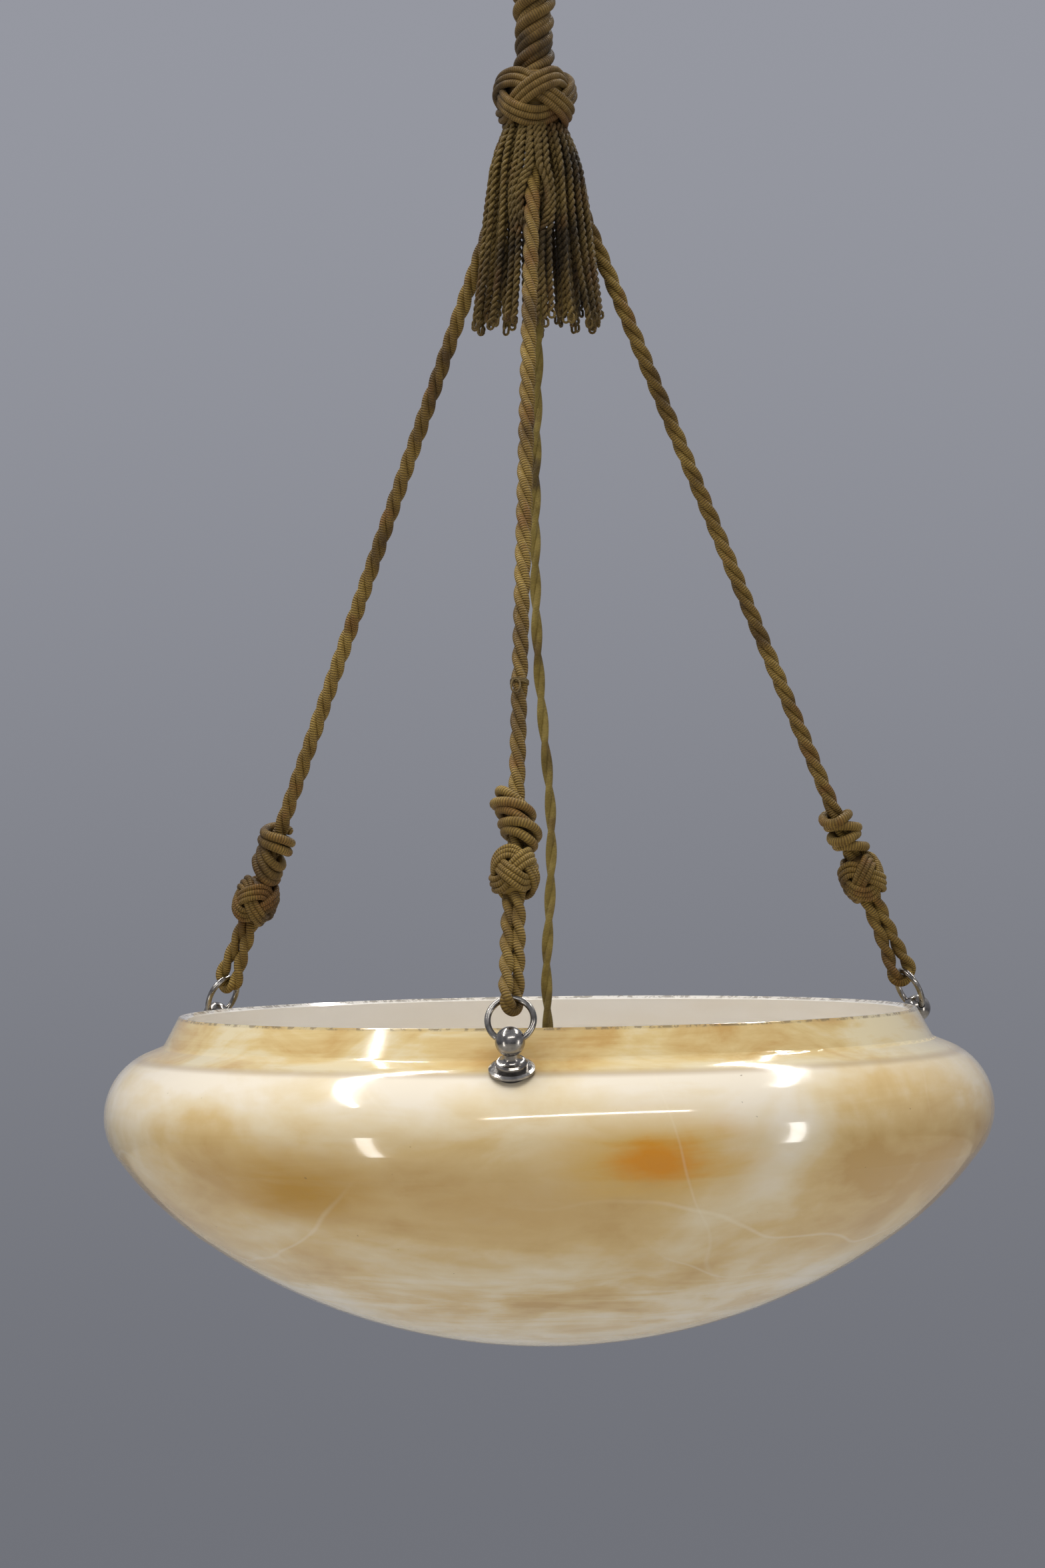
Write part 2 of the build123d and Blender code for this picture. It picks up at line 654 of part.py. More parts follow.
for name, azimuth, knot_place, quarters in suspensions:
    seat = finial_plane(azimuth)
    cord = cord_plane(azimuth)
    ring_plane = Plane(
        origin=cord.from_local_coords((0, 0, ring_radius)), x_dir=cord.x_dir, z_dir=cord.y_dir
    )
    loop_plane = Plane(origin=cord.origin, x_dir=cord.y_dir, z_dir=cord.x_dir)

    # Rosette: the flat stepped disc under the finial
    with BuildPart() as rosette:
        with BuildSketch(side_of(seat)):
            with BuildLine():
                Polyline(
                    (gasket_bore / 2, gasket_outer),
                    (rosette_radius, gasket_outer),
                    (rosette_radius, gasket_outer + rosette_edge),
                    (rosette_step, gasket_outer + rosette_thickness),
                    (gasket_bore / 2, gasket_outer + rosette_thickness),
                    close=True,
                )
            make_face()
        revolve(axis=axis_of(seat))
    save(rosette, "rosette_" + name)

    # Finial: stud, stepped base, waisted neck and a ball with a hole for the ring
    base_z = gasket_outer + rosette_thickness
    with BuildPart() as finial:
        with BuildSketch(side_of(seat)):
            with BuildLine():
                Polyline(
                    (neck_radius, neck_low),
                    (neck_radius, finial_height),
                    (0, finial_height),
                    (0, stud_end),
                    (stud_diameter / 2, stud_end),
                    (stud_diameter / 2, base_z),
                    (base_radius, base_z),
                    (base_radius, base_z + base_height),
                    (base_radius - base_bevel, base_z + base_height + base_bevel),
                )
                ThreePointArc(
                    (base_radius - base_bevel, base_z + base_height + base_bevel),
                    bulged(
                        (base_radius - base_bevel, base_z + base_height + base_bevel),
                        (neck_radius, neck_low),
                        neck_hollow,
                    ),
                    (neck_radius, neck_low),
                )
            make_face()
        revolve(axis=axis_of(seat))
        with Locations(seat.offset(finial_height)):
            Sphere(ball_radius)
        with Locations(ring_plane):
            Torus(ring_radius, ring_wire / 2 + ring_play, mode=Mode.SUBTRACT)
    save(finial, "finial_" + name)

    # Ring: round wire with a fine split where its ends meet
    with BuildPart() as ring:
        with Locations(ring_plane):
            Torus(ring_radius, ring_wire / 2)
        with BuildSketch(ring_plane.rotated((0, 0, ring_split_angle)).offset(-ring_wire)):
            with Locations((ring_radius, 0)):
                Rectangle(2 * ring_wire, ring_split)
        extrude(amount=2 * ring_wire, mode=Mode.SUBTRACT)
    save(ring, "ring_" + name)

    # Rope loop: down from the ball knot, round the ring's wire and up again
    loop_top = knot_place - ball_knot_height / 2
    with BuildPart() as rope_loop:
        with BuildLine(loop_plane):
            Line((-loop_radius, loop_top), (-loop_radius, loop_center))
            ThreePointArc(
                (-loop_radius, loop_center),
                (0, loop_center - loop_radius),
                (loop_radius, loop_center),
            )
            Line((loop_radius, loop_center), (loop_radius, loop_top))
        with BuildSketch(cord.offset(loop_top)):
            with Locations((0, -loop_radius)):
                Circle(loop_cord / 2)
        sweep()
    save(rope_loop, "rope_loop_" + name)

    # Ball knot, flat where the rope enters it and where the loop leaves it
    with BuildPart() as ball_knot:
        with BuildSketch(side_of(cord)):
            with BuildLine():
                Polyline(
                    (ball_knot_flat, knot_place + ball_knot_height / 2),
                    (0, knot_place + ball_knot_height / 2),
                    (0, knot_place - ball_knot_height / 2),
                    (ball_knot_flat, knot_place - ball_knot_height / 2),
                )
                ThreePointArc(
                    (ball_knot_flat, knot_place - ball_knot_height / 2),
                    (ball_knot_radius, knot_place),
                    (ball_knot_flat, knot_place + ball_knot_height / 2),
                )
            make_face()
        revolve(axis=axis_of(cord))
    save(ball_knot, "ball_knot_" + name)

    # Suspension rope, square to the ball knot and cut level under the large knot
    with BuildPart() as suspension_rope:
        with BuildSketch(cord.offset(knot_place + ball_knot_height / 2)):
            Circle(cord_diameter / 2)
        extrude(amount=cord_run + cord_diameter - knot_place - ball_knot_height / 2)
        split(bisect_by=Plane.XY.offset(knot_low_z), keep=Keep.BOTTOM)
    save(suspension_rope, "suspension_rope_" + name)

    # Wound cord: one unbroken tube round the rope, above the ball knot
    places, ways = wound_path(cord.offset(knot_place), quarters)
    with BuildPart() as winding:
        with BuildLine() as winding_route:
            Line(places[0], places[1])
            for start, way, end, end_way in zip(places[1:], ways[1:], places[2:-1], ways[2:-1]):
                joint, joint_way = biarc(start, way, end, end_way)
                TangentArc(start, joint, tangent=way)
                TangentArc(joint, end, tangent=joint_way)
            Line(places[-2], places[-1])
        with BuildSketch(cord.offset(knot_place + ball_knot_height / 2)):
            with Locations((wound_radius, 0)):
                Circle(wound_cord / 2)
        sweep()
    save(winding, "winding_" + name)
    wound_arcs = winding_route.edges().filter_by(GeomType.CIRCLE)
    print("winding", name, "least gap", round(least_gap(winding_route.wire(), wound_cord), 2))
    print("  tightest radius", round(min(arc.radius for arc in wound_arcs), 2))
    tube_volume = pi * (wound_cord / 2) ** 2 * winding_route.wire().length
    print("  volume over section times length", round(winding.part.volume / tube_volume, 4))

# A turn of thread tied round the front rope
front_cord = cord_plane(suspensions[0][1])
with BuildPart() as thread_tie:
    with Locations(front_cord.offset(tie_height)):
        Torus(cord_diameter / 2 + knot_fit + tie_thread / 2, tie_thread / 2)
save(thread_tie, "thread_tie")

# Supply flex: from the terminal block over into the rope's bore, and straight down to its end
supply_points = [
    (0, block_place, block_low_z),
    (0, block_place, -41),
    (0, 19.5, -51),
    (0, 7.5, -57.2),
    (0, 0, -68),
    (0, 0, knot_low_z),
]
supply_radii = fillet_radii(supply_points)
with BuildPart() as supply_flex:
    with BuildLine() as supply_route:
        FilletPolyline(*supply_points, radius=supply_radii)
    with BuildSketch(Plane(origin=supply_points[0], x_dir=(1, 0, 0), z_dir=(0, 0, -1))):
        Circle(flex_diameter / 2)
    sweep()
save(supply_flex, "supply_flex")
print("supply flex", round(supply_route.wire().length, 1), [round(r, 1) for r in supply_radii])
supply_volume = pi * (flex_diameter / 2) ** 2 * supply_route.wire().length
print("  volume over section times length", round(supply_flex.part.volume / supply_volume, 4))

# Lamp flex: hangs free from the rope's end to the lampholder, with the small waves of a twisted
# pair that has been coiled
lamp_points = [
    (0, 0, knot_low_z - flex_joint_gap),
    (0, 0, -228),
    (0.8, -0.6, -270),
    (-0.9, 0.7, -318),
    (-2.7, -0.6, -370),
    (-2.9, 0.6, -425),
    (-0.1, 1.0, -468),
    (3.2, -0.3, -506),
    (1.9, -1.1, -545),
    (-0.5, 0.2, -573),
    (0, 0, -596),
    (0, 0, core_top_z),
]
lamp_radii = fillet_radii(lamp_points)
with BuildPart() as lamp_flex:
    with BuildLine() as lamp_route:
        FilletPolyline(*lamp_points, radius=lamp_radii)
    with BuildSketch(Plane(origin=lamp_points[0], x_dir=(1, 0, 0), z_dir=(0, 0, -1))):
        Circle(flex_diameter / 2)
    sweep()
save(lamp_flex, "lamp_flex")
print("lamp flex", round(lamp_route.wire().length, 1), [round(r, 1) for r in lamp_radii])
lamp_volume = pi * (flex_diameter / 2) ** 2 * lamp_route.wire().length
print("  volume over section times length", round(lamp_flex.part.volume / lamp_volume, 4))

# Lampholder: bush, cap, shell, porcelain core, contact, liner and mouth ring
with BuildPart() as cord_bush:
    with BuildSketch(Plane.XY.offset(cap_top_z)):
        Circle(bush_flange)
        Circle(bush_bore / 2, mode=Mode.SUBTRACT)
    extrude(amount=bush_flange_height)
    with BuildSketch(Plane.XY.offset(cap_top_z)):
        Circle(bush_radius)
        Circle(bush_bore / 2, mode=Mode.SUBTRACT)
    extrude(amount=-bush_height)
save(cord_bush, "cord_bush")

with BuildPart() as holder_cap:
    with BuildSketch(Plane.XZ):
        with BuildLine():
            Polyline(
                (bush_radius + liner_fit, cap_top_z),
                (cap_neck, cap_top_z),
                (cap_neck, cap_top_z - cap_neck_height),
            )
            ThreePointArc(
                (cap_neck, cap_top_z - cap_neck_height),
                bulged((cap_neck, cap_top_z - cap_neck_height), (holder_radius, cap_skirt_z), cap_bulge),
                (holder_radius, cap_skirt_z),
            )
            Line((holder_radius, cap_skirt_z), (holder_radius, cap_low_z))
            offset(amount=cap_wall, side=Side.RIGHT, kind=Kind.INTERSECTION)
        make_face()
    revolve(axis=Axis.Z)
save(holder_cap, "holder_cap")

with BuildPart() as holder_shell:
    with BuildSketch(Plane.XY.offset(cap_low_z)):
        Circle(holder_radius)
        Circle(holder_radius - shell_wall, mode=Mode.SUBTRACT)
    extrude(amount=-shell_height)
save(holder_shell, "holder_shell")

liner_outer = liner_bore / 2 + liner_wall
with BuildPart() as porcelain_core:
    with BuildSketch(Plane.XY.offset(core_top_z)):
        Circle(holder_radius - shell_wall - core_fit)
    extrude(amount=-core_height)
    with BuildSketch(Plane.XY.offset(core_floor_z)):
        Circle(liner_outer + liner_fit)
    extrude(amount=core_floor - core_height, mode=Mode.SUBTRACT)
    with Locations((0, 0, core_top_z)):
        with GridLocations(2 * core_screw_place, 1, 2, 1):
            Hole(core_screw / 2 + screw_fit, depth=core_screw_length)
save(porcelain_core, "porcelain_core")

with BuildPart() as core_screws:
    with BuildSketch(Plane.XY.offset(core_top_z - core_screw_length)):
        with GridLocations(2 * core_screw_place, 1, 2, 1):
            Circle(core_screw / 2)
    extrude(amount=core_screw_length)
    with BuildSketch(Plane.XY.offset(core_top_z)):
        with GridLocations(2 * core_screw_place, 1, 2, 1):
            Circle(core_screw_head / 2)
    extrude(amount=core_screw_head_height)
save(core_screws, "core_screws")

with BuildPart() as centre_contact:
    with BuildSketch(Plane.XY.offset(core_floor_z)):
        Circle(contact_radius)
    extrude(amount=-contact_height)
save(centre_contact, "centre_contact")

with BuildPart() as screwed_liner:
    with BuildSketch(Plane.XY.offset(core_floor_z)):
        Circle(liner_outer)
        Circle(liner_bore / 2, mode=Mode.SUBTRACT)
    extrude(amount=shell_low_z - core_floor_z)
save(screwed_liner, "screwed_liner")

with BuildPart() as mouth_ring:
    with BuildSketch(Plane.XY.offset(shell_low_z)):
        Circle(mouth_ring_outer)
        Circle(mouth_ring_bore / 2, mode=Mode.SUBTRACT)
    extrude(amount=-mouth_ring_height)
    fillet(mouth_ring.faces().sort_by(Axis.Z)[0].outer_wire().edges(), collar_edge)
    with BuildSketch(Plane.XY.offset(shell_low_z)):
        Circle(holder_radius - shell_wall - core_fit)
        Circle(liner_outer + core_fit, mode=Mode.SUBTRACT)
    extrude(amount=mouth_ring_spigot)
save(mouth_ring, "mouth_ring")

# Bulb: foot contact, screw base and envelope, hanging base up
with BuildPart() as bulb_foot:
    with BuildSketch(Plane.XY.offset(bulb_top_z)):
        Circle(bulb_foot_radius)
    extrude(amount=-bulb_foot_height, taper=-bulb_foot_taper)
save(bulb_foot, "bulb_foot")

bulb_base_radius = liner_bore / 2 - bulb_fit
with BuildPart() as bulb_base:
    with BuildSketch(Plane.XZ):
        with BuildLine():
            Polyline(
                (0, bulb_base_z),
                (bulb_shoulder, bulb_base_z),
                (bulb_base_radius, bulb_base_z - bulb_shoulder_drop),
                (bulb_base_radius, bulb_neck_z),
                (0, bulb_neck_z),
                close=True,
            )
        make_face()
    revolve(axis=Axis.Z)
save(bulb_base, "bulb_base")

bulb_low_z = bulb_neck_z - bulb_length
bulb_center_z = bulb_low_z + bulb_radius
bulb_join_z = bulb_center_z + sqrt(bulb_radius**2 - bulb_neck**2)
with BuildPart() as bulb_envelope:
    with BuildSketch(Plane.XZ):
        with BuildLine():
            Line((bulb_neck, bulb_neck_z), (bulb_neck, bulb_join_z))
            ThreePointArc(
                (bulb_neck, bulb_join_z),
                (bulb_radius, bulb_center_z),
                (0, bulb_low_z),
            )
            offset(amount=bulb_wall, side=Side.RIGHT, kind=Kind.INTERSECTION)
        make_face()
    revolve(axis=Axis.Z)
save(bulb_envelope, "bulb_envelope")
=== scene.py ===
import bpy
import math
import random
from mathutils import Matrix, Vector


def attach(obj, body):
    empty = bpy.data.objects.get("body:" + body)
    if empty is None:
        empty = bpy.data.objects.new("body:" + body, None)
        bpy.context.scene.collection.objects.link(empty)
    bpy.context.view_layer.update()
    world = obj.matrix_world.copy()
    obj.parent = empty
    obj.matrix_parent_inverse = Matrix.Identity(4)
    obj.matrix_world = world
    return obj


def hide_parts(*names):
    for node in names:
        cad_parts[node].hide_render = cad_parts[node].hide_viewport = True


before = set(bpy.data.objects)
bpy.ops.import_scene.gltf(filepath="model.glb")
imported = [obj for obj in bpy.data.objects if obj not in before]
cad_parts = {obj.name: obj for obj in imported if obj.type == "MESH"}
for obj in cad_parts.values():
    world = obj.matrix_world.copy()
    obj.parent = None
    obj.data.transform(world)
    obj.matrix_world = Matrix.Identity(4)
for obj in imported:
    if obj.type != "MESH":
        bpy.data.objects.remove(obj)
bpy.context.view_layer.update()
print("frame loaded")

mm = 0.001

# Camera: square on to the lamp's front, above the rim, with a long lens, rolled as the photograph is
cameraSet = {
    "place": (-0.0099, -2.4, -0.492),
    "turn": (90.0, 0.8, 0.0),
    "lens": 122.4,
    "sensor": 36,
    "near": 0.05,
    "far": 30,
}
cameraData = bpy.data.cameras.new("photoCamera")
cameraData.sensor_fit = "VERTICAL"
cameraData.sensor_height = cameraSet["sensor"]
cameraData.lens = cameraSet["lens"]
cameraData.clip_start = cameraSet["near"]
cameraData.clip_end = cameraSet["far"]
camera = bpy.data.objects.new("photoCamera", cameraData)
bpy.context.scene.collection.objects.link(camera)
camera.location = cameraSet["place"]
camera.rotation_euler = [math.radians(angle) for angle in cameraSet["turn"]]
bpy.context.scene.camera = camera
print("camera set")


# Shader nodes. A tone is given in the 0 to 255 of a picture

def tone(red, green, blue):
    def linear(value):
        value = value / 255
        return value / 12.92 if value <= 0.04045 else ((value + 0.055) / 1.055) ** 2.4
    return (linear(red), linear(green), linear(blue), 1.0)


def startMaterial(name):
    material = bpy.data.materials.new(name)
    material.use_nodes = True
    return material, material.node_tree, material.node_tree.nodes["Principled BSDF"]


def fill(tree, made, inputs):
    for key, value in inputs.items():
        if isinstance(value, bpy.types.NodeSocket):
            tree.links.new(value, made.inputs[key])
        else:
            made.inputs[key].default_value = value


def put(tree, kind, settings=None, inputs=None):
    made = tree.nodes.new(kind)
    for key, value in (settings or {}).items():
        setattr(made, key, value)
    fill(tree, made, inputs or {})
    return made


def objectPlace(tree):
    return put(tree, "ShaderNodeTexCoord").outputs["Object"]


def reckon(tree, operation, first, second=0.0, third=0.5):
    return put(tree, "ShaderNodeMath", {"operation": operation}, {0: first, 1: second, 2: third}).outputs[0]


def cloud(tree, vector, scale, detail=4.0, rough=0.55, swirl=0.0):
    return put(tree, "ShaderNodeTexNoise", None, {
        "Vector": vector, "Scale": scale, "Detail": detail, "Roughness": rough, "Distortion": swirl,
    }).outputs[0]


def stretched(tree, vector, scale, turn=(0, 0, 0), shift=(0, 0, 0)):
    return put(tree, "ShaderNodeMapping", None, {
        "Vector": vector, "Scale": scale, "Location": shift,
        "Rotation": [math.radians(angle) for angle in turn],
    }).outputs[0]


def reckonVector(tree, operation, first, second=(0, 0, 0), output=0):
    return put(tree, "ShaderNodeVectorMath", {"operation": operation}, {0: first, 1: second}).outputs[output]


def blended(tree, factor, first, second):
    return put(tree, "ShaderNodeMix", {"data_type": "RGBA"}, {0: factor, 6: first, 7: second}).outputs[2]


def ramp(tree, factor, stops):
    made = put(tree, "ShaderNodeValToRGB", None, {0: factor})
    rampStops = made.color_ramp.elements
    while len(rampStops) < len(stops):
        rampStops.new(0.5)
    for stop, (place, value) in zip(rampStops, stops):
        stop.position = place
        stop.color = value if hasattr(value, "__len__") else (value, value, value, 1)
    return made.outputs[0]


def spread(tree, value, low, high, toLow=0.0, toHigh=1.0):
    return put(tree, "ShaderNodeMapRange", {"interpolation_type": "SMOOTHSTEP"}, {
        0: value, 1: low, 2: high, 3: toLow, 4: toHigh,
    }).outputs[0]


def relief(tree, height, depth, strength=1.0, under=None):
    inputs = {"Strength": strength, "Distance": depth, "Height": height}
    if under is not None:
        inputs["Normal"] = under
    return put(tree, "ShaderNodeBump", None, inputs).outputs[0]


# Finishes of the soft pieces. Their maps run in millimetres along a cord, and in turns round it

cordMarks = {  # what all cords share: scales of their clouds, strength of the tones laid over, and the gloss
    "patchScale": 38, "fineScale": 260, "fibreStretch": (0.35, 9, 1), "fibreScale": 2.2,
    "rustScale": 62, "rustShift": (3, 1, 7), "rustMost": 0.75, "fineShade": 0.35, "fibreShade": 0.3,
    "roughness": (0.58, 0.78), "specular": 0.26, "sheen": 0.04, "sheenRoughness": 0.45,
    "fuzz": 0.10 * mm, "fuzzStrength": 0.8, "ribStrength": 0.9,
}

# deep is the silk's dark tone, for its random dark patches and for the painted shade in the rib valleys; ribShade is
# how strong that painted shade is
silkRope = {
    "base": (125, 99, 41), "faded": (158, 131, 63), "deep": (72, 52, 20), "rust": (122, 81, 33),
    "rib": 1.05, "ribDepth": 0.30 * mm, "ribShade": 0.8,
}
# silkTop (main rope and large knot) and silkFringe (tassel) are the same silk in darker tones than silkRope: partly
# less faded silk, partly painted shade for the dimmer light at the lamp's top
silkTop = {
    "base": (104, 79, 34), "faded": (132, 105, 49), "deep": (42, 29, 10), "rust": (102, 64, 25),
    "rib": 1.0, "ribDepth": 0.18 * mm, "ribShade": 0.6,
}
silkFringe = {
    "base": (92, 73, 33), "faded": (118, 97, 48), "deep": (42, 31, 12), "rust": (92, 63, 27),
    "rib": 0.9, "ribDepth": 0.08 * mm, "ribShade": 0.3,
}
cottonFlex = {
    "base": (124, 106, 46), "faded": (146, 128, 66), "deep": (74, 58, 22), "rust": (92, 68, 28),
    "rib": 0.7, "ribDepth": 0.08 * mm, "ribShade": 0.35,
}
bindingThread = {
    "base": (104, 86, 46), "faded": (132, 112, 68), "deep": (70, 54, 28), "rust": (92, 70, 36),
    "rib": 0.35, "ribDepth": 0.04 * mm, "ribShade": 0.2,
}


def cordFinish(name, silk):
    material, tree, shader = startMaterial(name)
    deep, base, faded, rust = [tone(*silk[part]) for part in ("deep", "base", "faded", "rust")]
    coordinates = put(tree, "ShaderNodeTexCoord")
    place, alongCord = coordinates.outputs["Object"], coordinates.outputs["UV"]
    split = put(tree, "ShaderNodeSeparateXYZ", None, {0: alongCord})
    turns = reckon(tree, "ADD", reckon(tree, "DIVIDE", split.outputs[0], silk["rib"]), split.outputs[1])
    wave = reckon(tree, "SINE", reckon(tree, "MULTIPLY", turns, 2 * math.pi))
    rib = reckon(tree, "MULTIPLY_ADD", wave, 0.5, 0.5)
    ribValleyShade = reckon(tree, "POWER", reckon(tree, "SUBTRACT", 1.0, rib), 2.0)
    patches = cloud(tree, place, cordMarks["patchScale"], 3, 0.5)
    fine = cloud(tree, place, cordMarks["fineScale"], 3, 0.6)
    fibres = cloud(tree, stretched(tree, alongCord, cordMarks["fibreStretch"]), cordMarks["fibreScale"], 2, 0.6)
    rustPlace = stretched(tree, place, (1, 1, 1), shift=cordMarks["rustShift"])
    rustCloud = cloud(tree, rustPlace, cordMarks["rustScale"], 2, 0.5)
    rustMask = spread(tree, rustCloud, 0.55, 0.72, 0.0, cordMarks["rustMost"])
    colour = ramp(tree, patches, [(0.34, deep), (0.47, base), (0.66, faded)])
    colour = blended(tree, rustMask, colour, rust)
    colour = blended(tree, spread(tree, fine, 0.35, 0.7, 0.0, cordMarks["fineShade"]), colour, deep)
    colour = blended(tree, spread(tree, fibres, 0.5, 0.75, 0.0, cordMarks["fibreShade"]), colour, faded)
    # Painted shade: the valleys between the ribs are darkened towards the deep tone, as strongly as ribShade says
    colour = blended(tree, reckon(tree, "MULTIPLY", ribValleyShade, silk["ribShade"]), colour, deep)
    fuzz = relief(tree, fine, cordMarks["fuzz"], cordMarks["fuzzStrength"])
    fill(tree, shader, {
        "Base Color": colour, "Roughness": spread(tree, fine, 0.3, 0.7, *cordMarks["roughness"]),
        "Specular IOR Level": cordMarks["specular"], "Sheen Weight": cordMarks["sheen"],
        "Sheen Roughness": cordMarks["sheenRoughness"],
        "Normal": relief(tree, rib, silk["ribDepth"], cordMarks["ribStrength"], fuzz),
    })
    return material


ropeFinish = cordFinish("silkRope", silkRope)
topFinish = cordFinish("silkTop", silkTop)
fringeFinish = cordFinish("silkFringe", silkFringe)
flexFinish = cordFinish("cottonFlex", cottonFlex)
threadFinish = cordFinish("bindingThread", bindingThread)
print("cord finishes made")


# Helpers for cords

# Axes of a suspension, in millimetres: across it, inward to the lamp's middle, and up along its rope
def leaningFrame(azimuth, radius, height, lean):
    way = math.radians(azimuth)
    tilt = math.radians(lean)
    up = Vector((math.sin(tilt) * math.cos(way), math.sin(tilt) * math.sin(way), math.cos(tilt)))
    across = Vector((-math.sin(way), math.cos(way), 0))
    inward = up.cross(across)
    origin = Vector((radius * math.cos(way), radius * math.sin(way), height))
    return {"origin": origin, "across": across, "inward": inward, "up": up}


def placeIn(plane, x, y, z):
    return (plane["origin"] + plane["across"] * x + plane["inward"] * y + plane["up"] * z) * mm


# The line of a cord: a smooth spline through its route, read back as points
def routeLine(name, route, fineness):
    data = bpy.data.curves.new(name + "Line", "CURVE")
    data.dimensions = "3D"
    data.resolution_u = fineness
    spline = data.splines.new("NURBS")
    spline.points.add(len(route) - 1)
    for point, place in zip(spline.points, route):
        point.co = (place[0], place[1], place[2], 1)
    spline.order_u = 3
    spline.use_endpoint_u = True
    holder = bpy.data.objects.new(name + "Line", data)
    bpy.context.scene.collection.objects.link(holder)
    bpy.context.view_layer.update()
    seen = bpy.data.meshes.new_from_object(holder)
    points = [vertex.co.copy() for vertex in seen.vertices]
    bpy.data.objects.remove(holder)
    bpy.data.meshes.remove(seen)
    bpy.data.curves.remove(data)
    return points


# The way of a line at each of its points
def ways(points, closed=False):
    count = len(points)
    found = []
    for index in range(count):
        if closed:
            way = points[(index + 1) % count] - points[index - 1]
        else:
            way = points[min(index + 1, count - 1)] - points[max(index - 1, 0)]
        found.append(way.normalized())
    return found


# A sideways direction at each point, which turns no more than the line does
def sidesAlong(points, closed=False, start=None):
    directions = ways(points, closed)
    side = start or directions[0].orthogonal()
    sides = []
    for way in directions:
        side = (side - way * side.dot(way)).normalized()
        sides.append(side)
    if closed:  # share out the turn that is left where the ring closes
        last = sides[-1]
        first = (sides[0] - directions[-1] * sides[0].dot(directions[-1])).normalized()
        miss = math.atan2(last.cross(first).dot(directions[-1]), last.dot(first))
        for index, way in enumerate(directions):
            sides[index] = Matrix.Rotation(miss * index / (len(points) - 1), 3, way) @ sides[index]
    return directions, sides


def lengthsAlong(points):
    lengths = [0.0]
    for before, after in zip(points, points[1:]):
        lengths.append(lengths[-1] + (after - before).length)
    return lengths


# The strands of a laid rope, round its line. lay is the length of one turn, minus for a left turn
def laidStrands(points, count, circle, lay, start=None, phase=0.0, circleAt=None):
    directions, sides = sidesAlong(points, start=start)
    lengths = lengthsAlong(points)
    strands = []
    for number in range(count):
        strand = []
        for index, point in enumerate(points):
            angle = 2 * math.pi * (lengths[index] / lay + number / count) + phase
            reach = circle if circleAt is None else circle * circleAt(lengths[index] / lengths[-1])
            other = directions[index].cross(sides[index])
            strand.append(point + (sides[index] * math.cos(angle) + other * math.sin(angle)) * reach)
        strands.append(strand)
    return strands


def tubesOf(lines, radius):
    return [{"points": line, "radius": radius * mm} for line in lines]


tubeEnd = {"shares": (0.45, 0.8), "pole": 0.3}  # a tube's end is rounded: two rings and a pole, in shares of its radius


# One mesh of many tubes. Each tube is a dictionary of its points, its radius or radii, and if it is closed or round
def tubeMesh(name, tubes, sides, material, body, replaces):
    vertices, faces, maps = [], [], []
    for tube in tubes:
        points = [Vector(point) for point in tube["points"]]
        closed = tube.get("closed", False)
        radius = tube["radius"]
        radii = list(radius) if hasattr(radius, "__len__") else [radius] * len(points)
        stations = list(zip(points, radii))
        if not closed and tube.get("round", True):
            directions = ways(points)
            for share in tubeEnd["shares"]:
                shrink = math.sqrt(1 - share * share)
                stations.insert(0, (points[0] - directions[0] * radii[0] * share, radii[0] * shrink))
                stations.append((points[-1] + directions[-1] * radii[-1] * share, radii[-1] * shrink))
        line = [station[0] for station in stations]
        directions, across = sidesAlong(line, closed)
        lengths = lengthsAlong(line)
        first = len(vertices)
        for index, (point, size) in enumerate(stations):
            other = directions[index].cross(across[index])
            for number in range(sides):
                angle = 2 * math.pi * number / sides
                vertices.append(point + (across[index] * math.cos(angle) + other * math.sin(angle)) * size)
        rings = len(stations)
        closing = (points[-1] - points[0]).length
        for index in range(rings if closed else rings - 1):
            low = lengths[index] / mm
            high = (lengths[index + 1] if index + 1 < rings else lengths[-1] + closing) / mm
            after = (index + 1) % rings
            for number in range(sides):
                beside = (number + 1) % sides
                faces.append((first + index * sides + number, first + index * sides + beside,
                              first + after * sides + beside, first + after * sides + number))
                near, far = number / sides, (number + 1) / sides
                maps.extend([(low, near), (low, far), (high, far), (high, near)])
        if not closed:
            for end, way, reach in ((0, -1, stations[0][1]), (rings - 1, 1, stations[-1][1])):
                pole = len(vertices)
                vertices.append(line[end] + directions[end] * way * reach * tubeEnd["pole"])
                for number in range(sides):
                    beside = (number + 1) % sides
                    pair = (first + end * sides + beside, first + end * sides + number)
                    faces.append((pole,) + (pair if way < 0 else pair[::-1]))
                    maps.extend([(lengths[end] / mm, 0.5)] * 3)
    mesh = bpy.data.meshes.new(name)
    mesh.from_pydata(vertices, [], faces)
    layer = mesh.uv_layers.new(name="alongCord")
    layer.data.foreach_set("uv", [value for pair in maps for value in pair])
    mesh.polygons.foreach_set("use_smooth", [True] * len(mesh.polygons))
    mesh.materials.append(material)
    mesh.update()
    piece = bpy.data.objects.new(name, mesh)
    bpy.context.scene.collection.objects.link(piece)
    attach(piece, body)
    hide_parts(*replaces)
    return piece


# The lamp's heights and its three suspensions, as the frame has them

lamp = {
    "ropeTop": -70.0, "knotTop": -170.0, "knotLow": -198.0,
    "ballRadius": 190.0204, "ballHeight": -598.7265, "lean": -24.5945, "ropeRun": 440.7,
}
suspensions = {  # knot is its ball knot's height along the rope, and legTurn how far its loop is turned, low and high
    "front": {"azimuth": -95.0, "knot": 76.3, "ropeLength": 0.3539, "legTurn": (24.0, 128.0), "knotTurn": 10.0},
    "right": {"azimuth": 25.0, "knot": 67.5, "ropeLength": 0.3627, "legTurn": (0.0, 26.0), "knotTurn": 140.0},
    "left": {"azimuth": 145.0, "knot": 59.5, "ropeLength": 0.3707, "legTurn": (0.0, -24.0), "knotTurn": 250.0},
}
for suspension in suspensions.values():
    suspension["plane"] = leaningFrame(suspension["azimuth"], lamp["ballRadius"], lamp["ballHeight"], lamp["lean"])


# Suspension ropes: three strands, laid to the left

